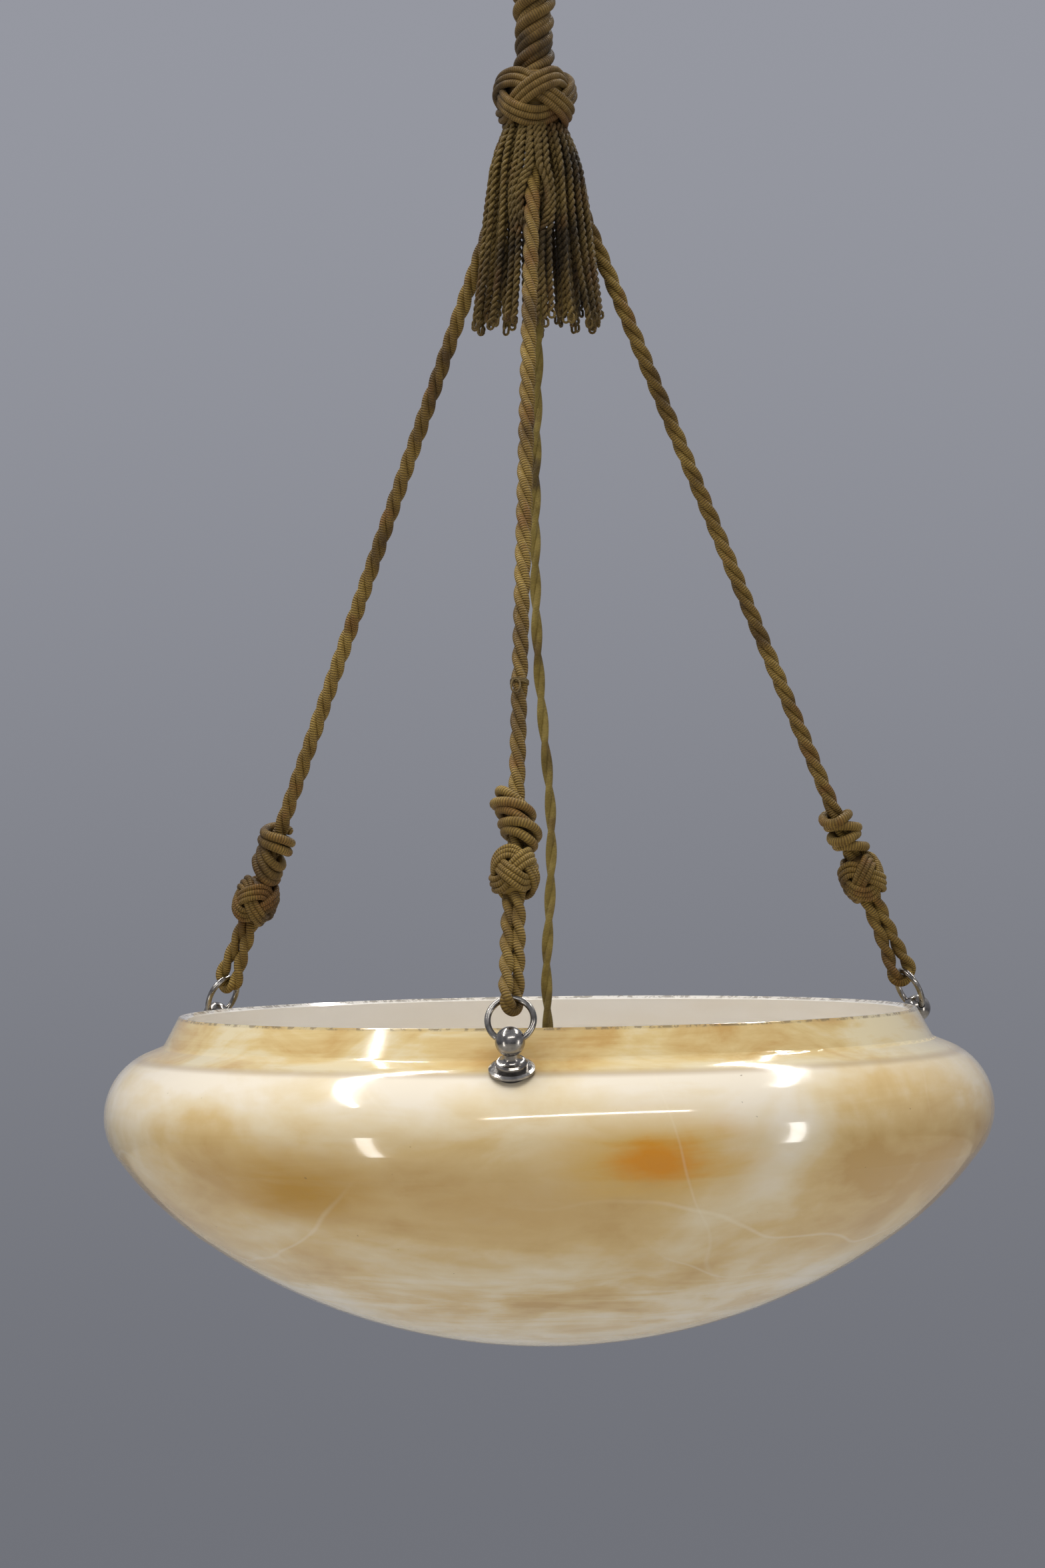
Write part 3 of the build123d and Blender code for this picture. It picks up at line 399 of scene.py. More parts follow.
suspensionRope = {"radius": 3.6, "strand": 1.78, "lay": -30.0, "sides": 12, "overKnot": 10.5, "belowTop": 1.5}
for name, suspension in suspensions.items():
    low = suspension["knot"] + suspensionRope["overKnot"]
    high = lamp["ropeRun"] - suspensionRope["belowTop"]
    heights = [low, low + 40, low + 120, (low + high) / 2 + 20, high - 90, high]
    route = [placeIn(suspension["plane"], 0, 0, height) for height in reversed(heights)]
    line = routeLine("suspensionRope", route, 60)
    circle = (suspensionRope["radius"] - suspensionRope["strand"]) * mm
    strands = laidStrands(line, 3, circle, suspensionRope["lay"] * mm, start=suspension["plane"]["across"],
                          phase=suspension["azimuth"])
    rope = tubeMesh("suspensionRope_" + name, tubesOf(strands, suspensionRope["strand"]), suspensionRope["sides"],
                    ropeFinish, "pendant", ["suspension_rope_" + name])
print("suspension ropes laid")


# Rope loops: two strands of the rope, down from the ball knot, under the ring's wire and up again

ropeLoop = {"radius": 3.2, "strand": 1.9, "lay": -20.0, "phase": 1.1, "bend": 4.45, "corner": 1.84, "centre": 19.3,
            "belowKnot": 9.0, "sides": 12}
for name, suspension in suspensions.items():
    bend, corner, centre = ropeLoop["bend"], ropeLoop["corner"], ropeLoop["centre"]
    top = suspension["knot"] - ropeLoop["belowKnot"]
    leg = [(2.3, top), (2.3, top - 6), (2.4, (top + centre) / 2 + 4), (3.1, centre + 9), (bend, centre + corner),
           (bend, centre - corner), (corner, centre - bend)]
    corners = leg + [(-across, height) for across, height in reversed(leg)]
    lowTurn, highTurn = suspension["legTurn"]
    route = []
    for across, height in corners:
        share = min(max((height - centre) / (top - centre), 0), 1)
        turn = math.radians(lowTurn + (highTurn - lowTurn) * share)
        route.append(placeIn(suspension["plane"], across * math.sin(turn), across * math.cos(turn), height))
    line = routeLine("ropeLoop", route, 14)
    circle = (ropeLoop["radius"] - ropeLoop["strand"]) * mm
    strands = laidStrands(line, 2, circle, ropeLoop["lay"] * mm, phase=ropeLoop["phase"])
    tubeMesh("ropeLoop_" + name, tubesOf(strands, ropeLoop["strand"]), ropeLoop["sides"], ropeFinish, "pendant",
             ["rope_loop_" + name])
print("rope loops laid")


# Flex: two covered cores, twisted together

flex = {"core": 1.5, "circle": 1.05, "lay": 40.0, "sides": 12}
supplyRoute = [(0, 29, -27), (0, 29, -41), (0, 19.5, -51), (0, 7.5, -57.2), (0, 0, -68), (0, 0, -84), (0, 0, -180),
               (0, 0, -198)]
lampRoute = [(0, 0, -198.5), (0, 0, -228), (0.8, -0.6, -270), (-0.9, 0.7, -318), (-2.7, -0.6, -370), (-2.9, 0.6, -425),
             (-0.1, 1.0, -468), (3.2, -0.3, -506), (1.9, -1.1, -545), (-0.5, 0.2, -573), (0, 0, -596), (0, 0, -628)]


def twistedFlex(name, route, node, body, fineness):
    line = routeLine(name, [Vector(point) * mm for point in route], fineness)
    cores = laidStrands(line, 2, flex["circle"] * mm, flex["lay"] * mm)
    piece = tubeMesh(name, tubesOf(cores, flex["core"]), flex["sides"], flexFinish, body, [node])


twistedFlex("supplyFlex", supplyRoute, "supply_flex", "pendant", 24)
twistedFlex("lampFlex", lampRoute, "lamp_flex", "lampholder", 28)
print("flex hung")


# Main rope: three strands of two cords each, laid to the right, with its top loop and seizing

mainRope = {"lay": 28.0, "strandCircle": 6.0, "cord": 2.6, "cordCircle": 2.45, "cordLay": 62.0, "phase": 0.4,
            "sides": 14, "heights": (lamp["ropeTop"], -96, -150, -194)}
line = routeLine("mainRope", [Vector((0, 0, height)) * mm for height in mainRope["heights"]], 64)
ropeCords = []
for strand in laidStrands(line, 3, mainRope["strandCircle"] * mm, mainRope["lay"] * mm, start=Vector((1, 0, 0)),
                          phase=mainRope["phase"]):
    ropeCords += laidStrands(strand, 2, mainRope["cordCircle"] * mm, mainRope["cordLay"] * mm, start=Vector((0, 0, 1)))
tubeMesh("mainRope", tubesOf(ropeCords, mainRope["cord"]), mainRope["sides"], topFinish, "pendant", ["main_rope"])

topLoop = {"bend": 6.9, "corner": 2.86, "centre": -56.2, "low": -69.5, "radius": 3.5, "strand": 1.74, "lay": -30.0,
           "sides": 9}
bend, corner, centre = topLoop["bend"], topLoop["corner"], topLoop["centre"]
leg = [(bend, topLoop["low"]), (bend, centre - 3), (bend, centre + corner), (corner, centre + bend)]
topRoute = [(-x, z) for x, z in leg] + leg[::-1]
line = routeLine("topLoop", [Vector((x, 0, z)) * mm for x, z in topRoute], 16)
strands = laidStrands(line, 3, (topLoop["radius"] - topLoop["strand"]) * mm, topLoop["lay"] * mm)
tubeMesh("topLoop", tubesOf(strands, topLoop["strand"]), topLoop["sides"], ropeFinish, "pendant", ["rope_top_loop"])

seizing = {"radius": 11.25, "thread": 0.5, "turns": 8, "top": -70.6, "height": 6.8, "perTurn": 40, "sides": 6}
seizingLine = []
seizingSteps = seizing["turns"] * seizing["perTurn"]
for step in range(seizingSteps + 1):
    angle = 2 * math.pi * step / seizing["perTurn"]
    height = seizing["top"] - seizing["height"] * step / seizingSteps
    seizingLine.append(Vector((seizing["radius"] * math.cos(angle), seizing["radius"] * math.sin(angle), height)) * mm)
tubeMesh("ropeSeizing", tubesOf([seizingLine], seizing["thread"]), seizing["sides"], threadFinish, "pendant",
         ["rope_seizing"])
print("main rope laid")


# Knots: three cords side by side go three times round in four waves, over and under each other

knotPattern = {"bands": (-1, 0, 1), "turns": 3, "waves": 4, "coreSteps": 12, "coreHeight": 0.86, "coreGap": 1.1}


# A knot's outline is a bow from its middle, at radius, to its ends. A plain core keeps it from being seen through
def turksHead(name, plane, knot, node):
    bow = (((knot["radius"] - knot["end"]) ** 2 + knot["half"] ** 2) / (2 * (knot["radius"] - knot["end"])))
    bowCentre = knot["radius"] - bow
    turns, waves = knotPattern["turns"], knotPattern["waves"]

    def outline(height):
        return bowCentre + math.sqrt(bow ** 2 - min(abs(height), knot["half"]) ** 2)

    tubes = []
    steps = knot["steps"]
    for band in knotPattern["bands"]:
        offset = band * knot["apart"]
        points = []
        for step in range(steps):
            t = 2 * math.pi * step / steps
            level = knot["reach"] * math.sin(waves * t)
            run, rise = turns * outline(level), waves * knot["reach"] * math.cos(waves * t)
            slope = math.hypot(run, rise)
            height = level + offset * run / slope
            angle = turns * t - offset * rise / slope / outline(level) + math.radians(knot["turn"])
            weave = -math.sin(2 * waves * (t - math.pi / (2 * waves)))
            out = outline(height) - knot["cord"] - knot["weave"] + knot["weave"] * weave
            points.append(placeIn(plane, out * math.cos(angle), out * math.sin(angle), knot["middle"] + height))
        tubes.append({"points": points, "radius": knot["cord"] * mm, "closed": True})
    core, coreRadii = [], []
    for step in range(knotPattern["coreSteps"] + 1):
        height = knot["half"] * knotPattern["coreHeight"] * (2 * step / knotPattern["coreSteps"] - 1)
        core.append(placeIn(plane, 0, 0, knot["middle"] + height))
        coreRadii.append((outline(height) - 2 * knot["cord"] - knotPattern["coreGap"] * knot["weave"]) * mm)
    tubes.append({"points": core, "radius": coreRadii, "round": False})
    tubeMesh(name, tubes, knot["sides"], knot["finish"], "pendant", [node])


largeKnot = {"radius": 19.6, "end": 14.5, "half": 14.0, "middle": 0.0, "cord": 1.72, "apart": 3.1, "reach": 9.2,
             "weave": 1.5, "turn": -112.5, "steps": 300, "sides": 14, "finish": topFinish}
upright = {"origin": Vector((0, 0, (lamp["knotTop"] + lamp["knotLow"]) / 2)), "across": Vector((1, 0, 0)),
           "inward": Vector((0, 1, 0)), "up": Vector((0, 0, 1))}
turksHead("largeKnot", upright, largeKnot, "large_knot")

ballKnot = {"radius": 11.1, "end": 8.0, "half": 10.5, "cord": 1.34, "apart": 2.42, "reach": 6.9, "weave": 0.95,
            "steps": 220, "sides": 12, "finish": ropeFinish}
for name, suspension in suspensions.items():
    knot = dict(ballKnot, middle=suspension["knot"], turn=suspension["knotTurn"])
    turksHead("ballKnot_" + name, suspension["plane"], knot, "ball_knot_" + name)
print("knots tied")


# Wound cords above the ball knots: an uneven spiral, fourteen points a turn, that starts behind the knot

winding = {"cord": {"front": 2.05, "right": 2.3, "left": 2.15}, "sides": 12, "perTurn": 14,
           "start": {"height": 8.0, "behind": 5.9, "right": 1.5}}
windingTurns = {  # turns so far, sideways shift, radius, lean to the left, height over the knot's middle
    "front": [
        (0.0, 0.4, 6.4, 0.6, 12.6), (0.5, 2.2, 6.8, 3.0, 15.4), (1.0, 1.6, 6.4, 2.2, 17.2),
        (1.5, 2.4, 8.7, 0.8, 19.8), (2.0, 0.8, 6.5, 2.0, 22.0), (2.5, 0.0, 7.1, 4.0, 24.4),
        (3.0, -0.6, 6.7, 1.8, 26.6), (3.5, -1.2, 8.9, 1.2, 28.8), (4.0, -2.2, 6.6, 2.6, 30.8),
        (4.5, -1.6, 6.6, 4.4, 33.0), (5.0, -0.6, 5.8, 1.0, 35.6)],
    "right": [
        (0.0, 0.0, 5.9, 0.3, 12.8), (0.5, 1.3, 6.2, 2.6, 15.5), (1.0, 0.4, 5.8, 0.5, 18.0),
        (1.5, -1.2, 6.6, -1.0, 20.6), (2.0, 0.0, 5.8, 1.0, 23.0), (2.5, 1.4, 6.4, 3.0, 25.6),
        (3.0, 0.0, 5.8, 0.0, 28.0), (3.5, -1.4, 6.6, -1.4, 30.2), (4.0, 0.0, 5.8, 1.6, 32.4)],
    "left": [
        (0.0, 0.0, 6.0, 0.4, 12.8), (0.5, -0.4, 6.1, 3.8, 15.6), (1.0, 0.0, 5.8, 3.0, 17.6),
        (1.5, 0.4, 6.1, 4.4, 20.0), (2.0, 0.2, 5.8, 3.0, 22.0), (2.5, 0.6, 6.3, 4.0, 24.6),
        (3.0, 0.6, 6.2, 1.0, 27.0), (3.5, 0.5, 7.6, -1.2, 29.2), (4.0, 0.4, 6.4, 0.4, 31.0),
        (4.5, 0.0, 7.4, -2.2, 33.2), (5.0, 0.4, 6.0, 1.6, 35.8)],
}
for name, suspension in suspensions.items():
    plane = suspension["plane"]
    toRight = {"front": plane["across"], "right": -plane["inward"], "left": plane["inward"]}[name]
    toNear = {"front": -plane["inward"], "right": -plane["across"], "left": plane["across"]}[name]
    turnsTable = windingTurns[name]
    start = winding["start"]
    route = [plane["origin"] + plane["up"] * (suspension["knot"] + start["height"]) - toNear * start["behind"]
             + toRight * start["right"]]
    steps = round(turnsTable[-1][0] * winding["perTurn"])
    for step in range(steps + 1):
        turn = turnsTable[-1][0] * step / steps
        before = max(index for index, row in enumerate(turnsTable[:-1]) if row[0] <= turn)
        low, high = turnsTable[before], turnsTable[before + 1]
        share = (turn - low[0]) / (high[0] - low[0])
        eased = (1 - math.cos(math.pi * share)) / 2
        shift, radius, lean = [low[part] + (high[part] - low[part]) * eased for part in (1, 2, 3)]
        climb = low[4] + (high[4] - low[4]) * share
        angle = math.pi + 2 * math.pi * turn
        route.append(plane["origin"] + toRight * (shift - radius * math.sin(angle)) + toNear * radius * math.cos(angle)
                     + plane["up"] * (suspension["knot"] + climb + lean * math.sin(angle)))
    line = routeLine("winding", [point * mm for point in route], 5)
    tubeMesh("winding_" + name, tubesOf([line], winding["cord"][name]), winding["sides"], ropeFinish, "pendant",
             ["winding_" + name])
print("wound cords made")


# Thread tie on the front rope: two and a half turns and a small slack loop

threadTie = {"height": 165.0, "radius": 3.75, "thread": 0.42, "turns": 2.5, "climb": 0.9, "steps": 60, "sides": 7}
slackLoop = {"long": 6.5, "side": -1.2, "wide": 1.9, "front": -3.9, "out": 0.5, "steps": 36}
tiePlane = suspensions["front"]["plane"]
tieLine, slackLine = [], []
for step in range(threadTie["steps"] + 1):
    angle = 2 * math.pi * threadTie["turns"] * step / threadTie["steps"]
    tieLine.append(placeIn(tiePlane, threadTie["radius"] * math.cos(angle), -threadTie["radius"] * math.sin(angle),
                           threadTie["height"] + threadTie["climb"] * (2 * step / threadTie["steps"] - 1)))
for step in range(slackLoop["steps"] + 1):
    angle = 2 * math.pi * step / slackLoop["steps"]
    slackLine.append(placeIn(tiePlane, slackLoop["side"] - slackLoop["wide"] * math.sin(angle),
                             slackLoop["front"] - slackLoop["out"] * math.sin(angle / 2),
                             threadTie["height"] - slackLoop["long"] / 2 * (1 - math.cos(angle))))
tubeMesh("threadTie", tubesOf([tieLine, slackLine], threadTie["thread"]), threadTie["sides"], threadFinish, "pendant",
         ["thread_tie"])


# Tassel: twisted strands that end in small loops, parted where the three ropes come through

tassel = {
    "strands": 39, "core": 18, "length": 90.0, "coreShorter": 3.0, "tucked": 1.5, "sides": 5, "steps": 120,
    "outline": [(0, 12.8), (10, 17.3), (20, 20.4), (45, 23.8), (67, 26.2), (95, 30.0)], "layers": (1.0, 0.84, 0.69),
    "ply": 0.85, "twist": 0.8, "pitch": 6.6, "spread": 0.7, "spreadFrom": 0.97, "spreadOver": 0.03,
    "ring": 1.35, "ringPly": 0.62, "ringParts": 6, "ringStart": 0.1, "ringShare": 0.8333,
    "thinFrom": 0.95, "thinOver": 0.05,
    "ropeStart": 6.6, "ropeSlope": 0.4577, "clear": 5.0, "open": 4.9, "parted": 13.0, "near": 1.2,
    "besideRopes": (-4.0, 4.5), "outBy": 1.25, "bends": 3.3, "ripples": 7,
}
chance = {  # how far the strands differ from each other
    "seed": 23, "home": (-0.3, 0.3), "coreHome": (-0.2, 0.2), "shorter": (0.0, 6.5), "sway": (-0.12, 0.12),
    "swing": (-0.09, 0.09), "outward": (-1.6, 0.4), "wave": (0.2, 0.8), "pitch": (0.9, 1.12),
}


# The skirt's radius at a drop below the knot
def skirtRadius(drop):
    for (above, wide), (below, wider) in zip(tassel["outline"], tassel["outline"][1:]):
        if drop <= below:
            return wide + (wider - wide) * (drop - above) / (below - above)
    return tassel["outline"][-1][1]


def fromMiddle(angle, middle):
    return (angle - middle + math.pi) % (2 * math.pi) - math.pi


# A strand keeps to its own side of each rope, and makes way where the rope comes through the skirt
def partedAngle(angle, home, drop, radius):
    for suspension in suspensions.values():
        middle = math.radians(suspension["azimuth"])
        away = fromMiddle(angle, middle)
        apart = radius - (tassel["ropeStart"] + tassel["ropeSlope"] * drop)
        if abs(away) < tassel["near"] and abs(apart) < tassel["open"]:
            own = math.copysign(1, fromMiddle(home, middle))
            side = max(away * own, 0) * radius
            gap = tassel["clear"] * (1 - (apart / tassel["open"]) ** 2)
            if side < tassel["parted"]:
                return middle + own * (gap + side * (tassel["parted"] - gap) / tassel["parted"]) / radius
    return angle


def spreadOfPlies(share):
    return 1.0 + tassel["spread"] * max(0, (share - tassel["spreadFrom"]) / tassel["spreadOver"])


def plyAt(share):
    thinner = tassel["ply"] - tassel["ringPly"]
    return tassel["ply"] - thinner * max(0, (share - tassel["thinFrom"]) / tassel["thinOver"])


# Each strand is one thin cord that goes down, round a small ring at the end, and up again, twisted with itself
luck = random.Random(chance["seed"])
tasselTubes = []
ropeSides = [math.radians(suspension["azimuth"] + side)
             for suspension in suspensions.values() for side in tassel["besideRopes"]]
skirtCount = tassel["strands"] + tassel["core"]
for number in range(skirtCount + len(ropeSides)):
    if number >= skirtCount:
        layer = 0
        home = ropeSides[number - skirtCount]
    elif number < tassel["strands"]:
        layer = 0 if number % 9 in (0, 1, 3, 4, 6, 8) else 1
        home = 2 * math.pi * (number + luck.uniform(*chance["home"])) / tassel["strands"]
    else:
        layer = 2
        home = 2 * math.pi * (number + luck.uniform(*chance["coreHome"])) / tassel["core"]
    length = tassel["length"] - luck.uniform(*chance["shorter"]) - tassel["coreShorter"] * (layer == 2)
    sway, swing = luck.uniform(*chance["sway"]), luck.uniform(*chance["swing"])
    outward, wave = luck.uniform(*chance["outward"]) * (layer < 2), luck.uniform(*chance["wave"])
    phase = luck.uniform(0, 2 * math.pi)
    pitch = tassel["pitch"] * luck.uniform(*chance["pitch"])
    centres = []
    for step in range(tassel["steps"] + 1):
        drop = length * step / tassel["steps"]
        share = drop / tassel["length"]
        radius = skirtRadius(drop) * tassel["layers"][layer]
        radius += (outward * math.sin(math.pi * min(share * tassel["outBy"], 1) / 2)
                   + wave * math.sin(tassel["ripples"] * share + phase) * share)
        angle = home + sway * math.sin(tassel["bends"] * share) + swing * share
        turned = angle if layer == 2 else partedAngle(angle, home, drop, radius)
        height = lamp["knotLow"] + tassel["tucked"] - drop
        centres.append(Vector((radius * math.cos(turned), radius * math.sin(turned), height)) * mm)
    down, up = laidStrands(centres, 2, tassel["twist"] * mm, pitch * mm, phase=phase, circleAt=spreadOfPlies)
    thins = [plyAt(step / tassel["steps"]) for step in range(tassel["steps"] + 1)]
    below = (centres[-1] - centres[-2]).normalized()
    across = (down[-1] - up[-1]).normalized()
    ringMiddle = (down[-1] + up[-1]) / 2 + below * tassel["ring"] * mm
    bottom = []
    for part in range(tassel["ringParts"] + 1):
        turn = math.pi * (part / tassel["ringParts"] - tassel["ringStart"]) / tassel["ringShare"]
        bottom.append(ringMiddle + (across * math.cos(turn) + below * math.sin(turn)) * tassel["ring"] * mm)
    radii = [thin * mm for thin in thins + [tassel["ringPly"]] * len(bottom) + thins[::-1]]
    tasselTubes.append({"points": down + bottom + up[::-1], "radius": radii})
tubeMesh("tasselStrands", tasselTubes, tassel["sides"], fringeFinish, "pendant", ["tassel"])
print("tassel made")


# Finishes of the hard pieces

hardMarks = {"fineScale": 900, "turnedStretch": (60, 60, 1800), "scuff": 0.03 * mm, "scuffStrength": 0.35,
             "turning": 0.02 * mm, "patchScale": 90, "grainScale": 700, "grain": 0.05 * mm, "coatRoughness": 0.12}


def metalFinish(name, metal):
    material, tree, shader = startMaterial(name)
    dull, base, bright = [tone(*metal[part]) for part in ("dull", "base", "bright")]
    place = objectPlace(tree)
    bloom = cloud(tree, place, metal["bloomScale"], 5, 0.6, 0.4)
    fine = cloud(tree, place, hardMarks["fineScale"], 3, 0.6)
    turned = cloud(tree, stretched(tree, place, hardMarks["turnedStretch"]), 1.0, 2, 0.5)
    colour = ramp(tree, bloom, [(0.3, dull), (0.52, base), (0.74, bright)])
    colour = blended(tree, spread(tree, fine, 0.56, 0.72, 0.0, metal.get("specks", 0.25)), colour, dull)
    scuffs = relief(tree, fine, hardMarks["scuff"], hardMarks["scuffStrength"])
    fill(tree, shader, {
        "Base Color": colour, "Metallic": 1.0, "Roughness": spread(tree, bloom, 0.3, 0.7, *metal["rough"]),
        "Normal": relief(tree, turned, hardMarks["turning"], metal.get("turning", 0.3), scuffs),
    })
    return material


def plainFinish(name, plain):
    material, tree, shader = startMaterial(name)
    place = objectPlace(tree)
    patches = cloud(tree, place, hardMarks["patchScale"], 4, 0.6)
    grain = cloud(tree, place, hardMarks["grainScale"], 3, 0.6)
    colour = ramp(tree, patches, [(0.35, tone(*plain["dark"])), (0.6, tone(*plain["base"]))])
    colour = blended(tree, spread(tree, grain, 0.6, 0.75, 0.0, 0.4), colour, tone(*plain["speck"]))
    fill(tree, shader, {
        "Base Color": colour, "Roughness": spread(tree, patches, 0.3, 0.7, *plain["rough"]),
        "Coat Weight": plain["coat"], "Coat Roughness": hardMarks["coatRoughness"],
        "Normal": relief(tree, grain, hardMarks["grain"], plain["bump"]),
    })
    return material


agedNickel = {"base": (150, 146, 141), "bright": (176, 172, 166), "dull": (112, 107, 101), "rough": (0.17, 0.30),
              "bloomScale": 170}
platedSteel = {"base": (158, 158, 156), "bright": (176, 176, 174), "dull": (134, 133, 129), "rough": (0.28, 0.42),
               "bloomScale": 60, "specks": 0.12}
plainBrass = {"base": (168, 138, 80), "bright": (190, 160, 100), "dull": (138, 110, 62), "rough": (0.26, 0.42),
              "bloomScale": 50, "specks": 0.15}
capAluminium = {"base": (190, 191, 193), "bright": (208, 209, 211), "dull": (158, 158, 158), "rough": (0.28, 0.42),
                "bloomScale": 130}
canopyNickel = {"base": (152, 147, 138), "bright": (168, 163, 154), "dull": (132, 127, 117), "rough": (0.2, 0.32),
                "bloomScale": 30, "specks": 0.08}
solderFinish = {"base": (150, 152, 155), "bright": (176, 178, 180), "dull": (112, 112, 112), "rough": (0.35, 0.55),
                "bloomScale": 130, "turning": 0.0}
rubber = {"base": (44, 42, 40), "dark": (30, 29, 28), "speck": (66, 63, 60), "rough": (0.6, 0.8), "coat": 0.0,
          "bump": 0.5}
porcelainGlaze = {"base": (238, 234, 226), "dark": (228, 223, 213), "speck": (206, 198, 184), "rough": (0.18, 0.3),
                  "coat": 0.5, "bump": 0.12}
darkMoulding = {"base": (52, 34, 24), "dark": (34, 22, 16), "speck": (84, 58, 40), "rough": (0.25, 0.45), "coat": 0.3,
                "bump": 0.2}

hardFinishes = [
    (metalFinish("agedNickel", agedNickel), [
        "finial_front", "finial_right", "finial_left", "rosette_front", "rosette_right", "rosette_left",
        "ring_front", "ring_right", "ring_left", "collar_screw", "suspension_link"]),
    (metalFinish("canopyNickel", canopyNickel), ["canopy", "canopy_collar"]),
    (metalFinish("platedSteel", platedSteel), [
        "ceiling_plate", "ceiling_hook", "hook_nut", "terminal_screws", "core_screws"]),
    (metalFinish("plainBrass", plainBrass), [
        "inner_washers", "finial_nuts", "holder_cap", "holder_shell", "screwed_liner", "centre_contact"]),
    (metalFinish("capAluminium", capAluminium), ["bulb_base"]),
    (metalFinish("solder", solderFinish), ["bulb_foot"]),
    (plainFinish("rubberGasket", rubber), ["outer_gaskets", "inner_gaskets"]),
    (plainFinish("porcelainGlaze", porcelainGlaze), ["porcelain_core", "terminal_block"]),
    (plainFinish("darkMoulding", darkMoulding), ["cord_bush", "mouth_ring"]),
]


def finishNode(node, material):
    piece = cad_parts[node]
    if not piece.material_slots:
        piece.data.materials.append(material)
    for slot in piece.material_slots:
        slot.material = material


for material, nodes in hardFinishes:
    for node in nodes:
        finishNode(node, material)

# Bulb envelope: pearl glass
pearlGlass = {"dark": (236, 234, 228), "pale": (246, 245, 242), "frostScale": 240, "frost": 0.02 * mm,
              "frostStrength": 0.3, "roughness": 0.34, "through": 0.35, "ior": 1.48}
pearl, tree, shader = startMaterial("pearlGlass")
frost = cloud(tree, objectPlace(tree), pearlGlass["frostScale"], 4, 0.6)
fill(tree, shader, {
    "Base Color": ramp(tree, frost, [(0.3, tone(*pearlGlass["dark"])), (0.7, tone(*pearlGlass["pale"]))]),
    "Roughness": pearlGlass["roughness"], "Transmission Weight": pearlGlass["through"], "IOR": pearlGlass["ior"],
    "Normal": relief(tree, frost, pearlGlass["frost"], pearlGlass["frostStrength"]),
})
finishNode("bulb_envelope", pearl)
print("hard pieces finished")


# Marbled opal glass

marbledGlass = {
    "milk": (232, 222, 204), "cream": (224, 207, 172), "honey": (212, 184, 130), "caramel": (194, 158, 96),
    "inside": (240, 236, 230), "collar": (212, 188, 134), "collarPale": (220, 206, 170), "amber": (184, 138, 34),
    "spot": (214, 140, 4), "halo": (210, 168, 78), "vein": (238, 228, 206), "speck": (96, 74, 48),
    "foot": (150, 122, 76), "chip": (104, 92, 74),
}
glassTones = {name: tone(*value) for name, value in marbledGlass.items()}
glassHeights = {  # metres: where a mask starts, and where it is full
    "whole": (-0.744, -0.594), "low": (-0.690, -0.715), "collar": (-0.6135, -0.6112), "underFoot": (-0.6150, -0.6128),
    "overFoot": (-0.6106, -0.6128), "cutEdge": (-0.5958, -0.5948), "middle": -0.60,
}
glassGloss = {"roughness": (0.08, 0.14), "ior": 1.5, "coat": 0.3, "coatRoughness": 0.03, "waves": 1.0 * mm,
              "pits": 0.05 * mm, "strength": 0.12}
glassSpots = [  # patches of colour on the front: middle and half sizes in metres, strength and tone
    {"middle": (-0.110, -0.168, -0.662), "sizes": (0.058, 0.07, 0.026), "most": 1.0, "tone": "amber"},
    {"middle": (-0.020, -0.190, -0.668), "sizes": (0.080, 0.07, 0.022), "most": 0.6, "tone": "caramel"},
    {"middle": (0.044, -0.188, -0.648), "sizes": (0.058, 0.06, 0.026), "most": 1.0, "tone": "halo"},
    {"middle": (0.044, -0.188, -0.6485), "sizes": (0.027, 0.05, 0.0145), "most": 1.3, "tone": "spot"},
]
veins = [  # each a wavering cut through the glass: its way, its place, how far it wavers, and how strong it is
    {"way": (0.10, 0.0, 1.0), "at": -0.672, "waver": 0.034, "strong": 0.34},
    {"way": (-0.42, 0.1, 1.0), "at": -0.640, "waver": 0.040, "strong": 0.30},
    {"way": (1.0, 0.15, 0.35), "at": -0.190, "waver": 0.045, "strong": 0.26},
    {"way": (0.5, -0.1, 1.0), "at": -0.640, "waver": 0.045, "strong": 0.28},
    {"way": (1.0, 0.3, -0.45), "at": 0.42, "waver": 0.05, "strong": 0.22},
]
opal, tree, shader = startMaterial("marbledGlass")
coordinates = put(tree, "ShaderNodeTexCoord")
place = coordinates.outputs["Object"]
height = put(tree, "ShaderNodeSeparateXYZ", None, {0: place}).outputs[2]
broadPlace = stretched(tree, place, (1.0, 1.0, 2.2), turn=(6, -10, 0), shift=(0.31, 0.52, 0.4))
middlingPlace = stretched(tree, place, (1, 1, 1.9), turn=(0, 14, 30), shift=(0.1, 0.7, 0.2))
broad = cloud(tree, broadPlace, 6.0, 4, 0.52, 0.7)
middling = cloud(tree, middlingPlace, 17, 5, 0.55, 0.9)
small = cloud(tree, stretched(tree, place, (1, 1, 1.5)), 60, 5, 0.6, 0.5)
streaks = cloud(tree, stretched(tree, place, (1, 1, 9.0), turn=(3, 4, 0)), 13, 5, 0.62, 0.6)


def times(first, second):
    return reckon(tree, "MULTIPLY", first, second)


def swung(value, amount):
    return times(reckon(tree, "SUBTRACT", value, 0.5), amount)


# How near a point of the glass is to a spot's middle, wobbled by the clouds
def spotMask(spot):
    away = reckonVector(tree, "SUBTRACT", place, spot["middle"])
    span = reckonVector(tree, "LENGTH", reckonVector(tree, "DIVIDE", away, spot["sizes"]), output=1)
    wobbled = reckon(tree, "ADD", span, reckon(tree, "ADD", swung(middling, 0.9), swung(streaks, 0.7)))
    return spread(tree, wobbled, 1.0, 0.0, 0.0, spot["most"])


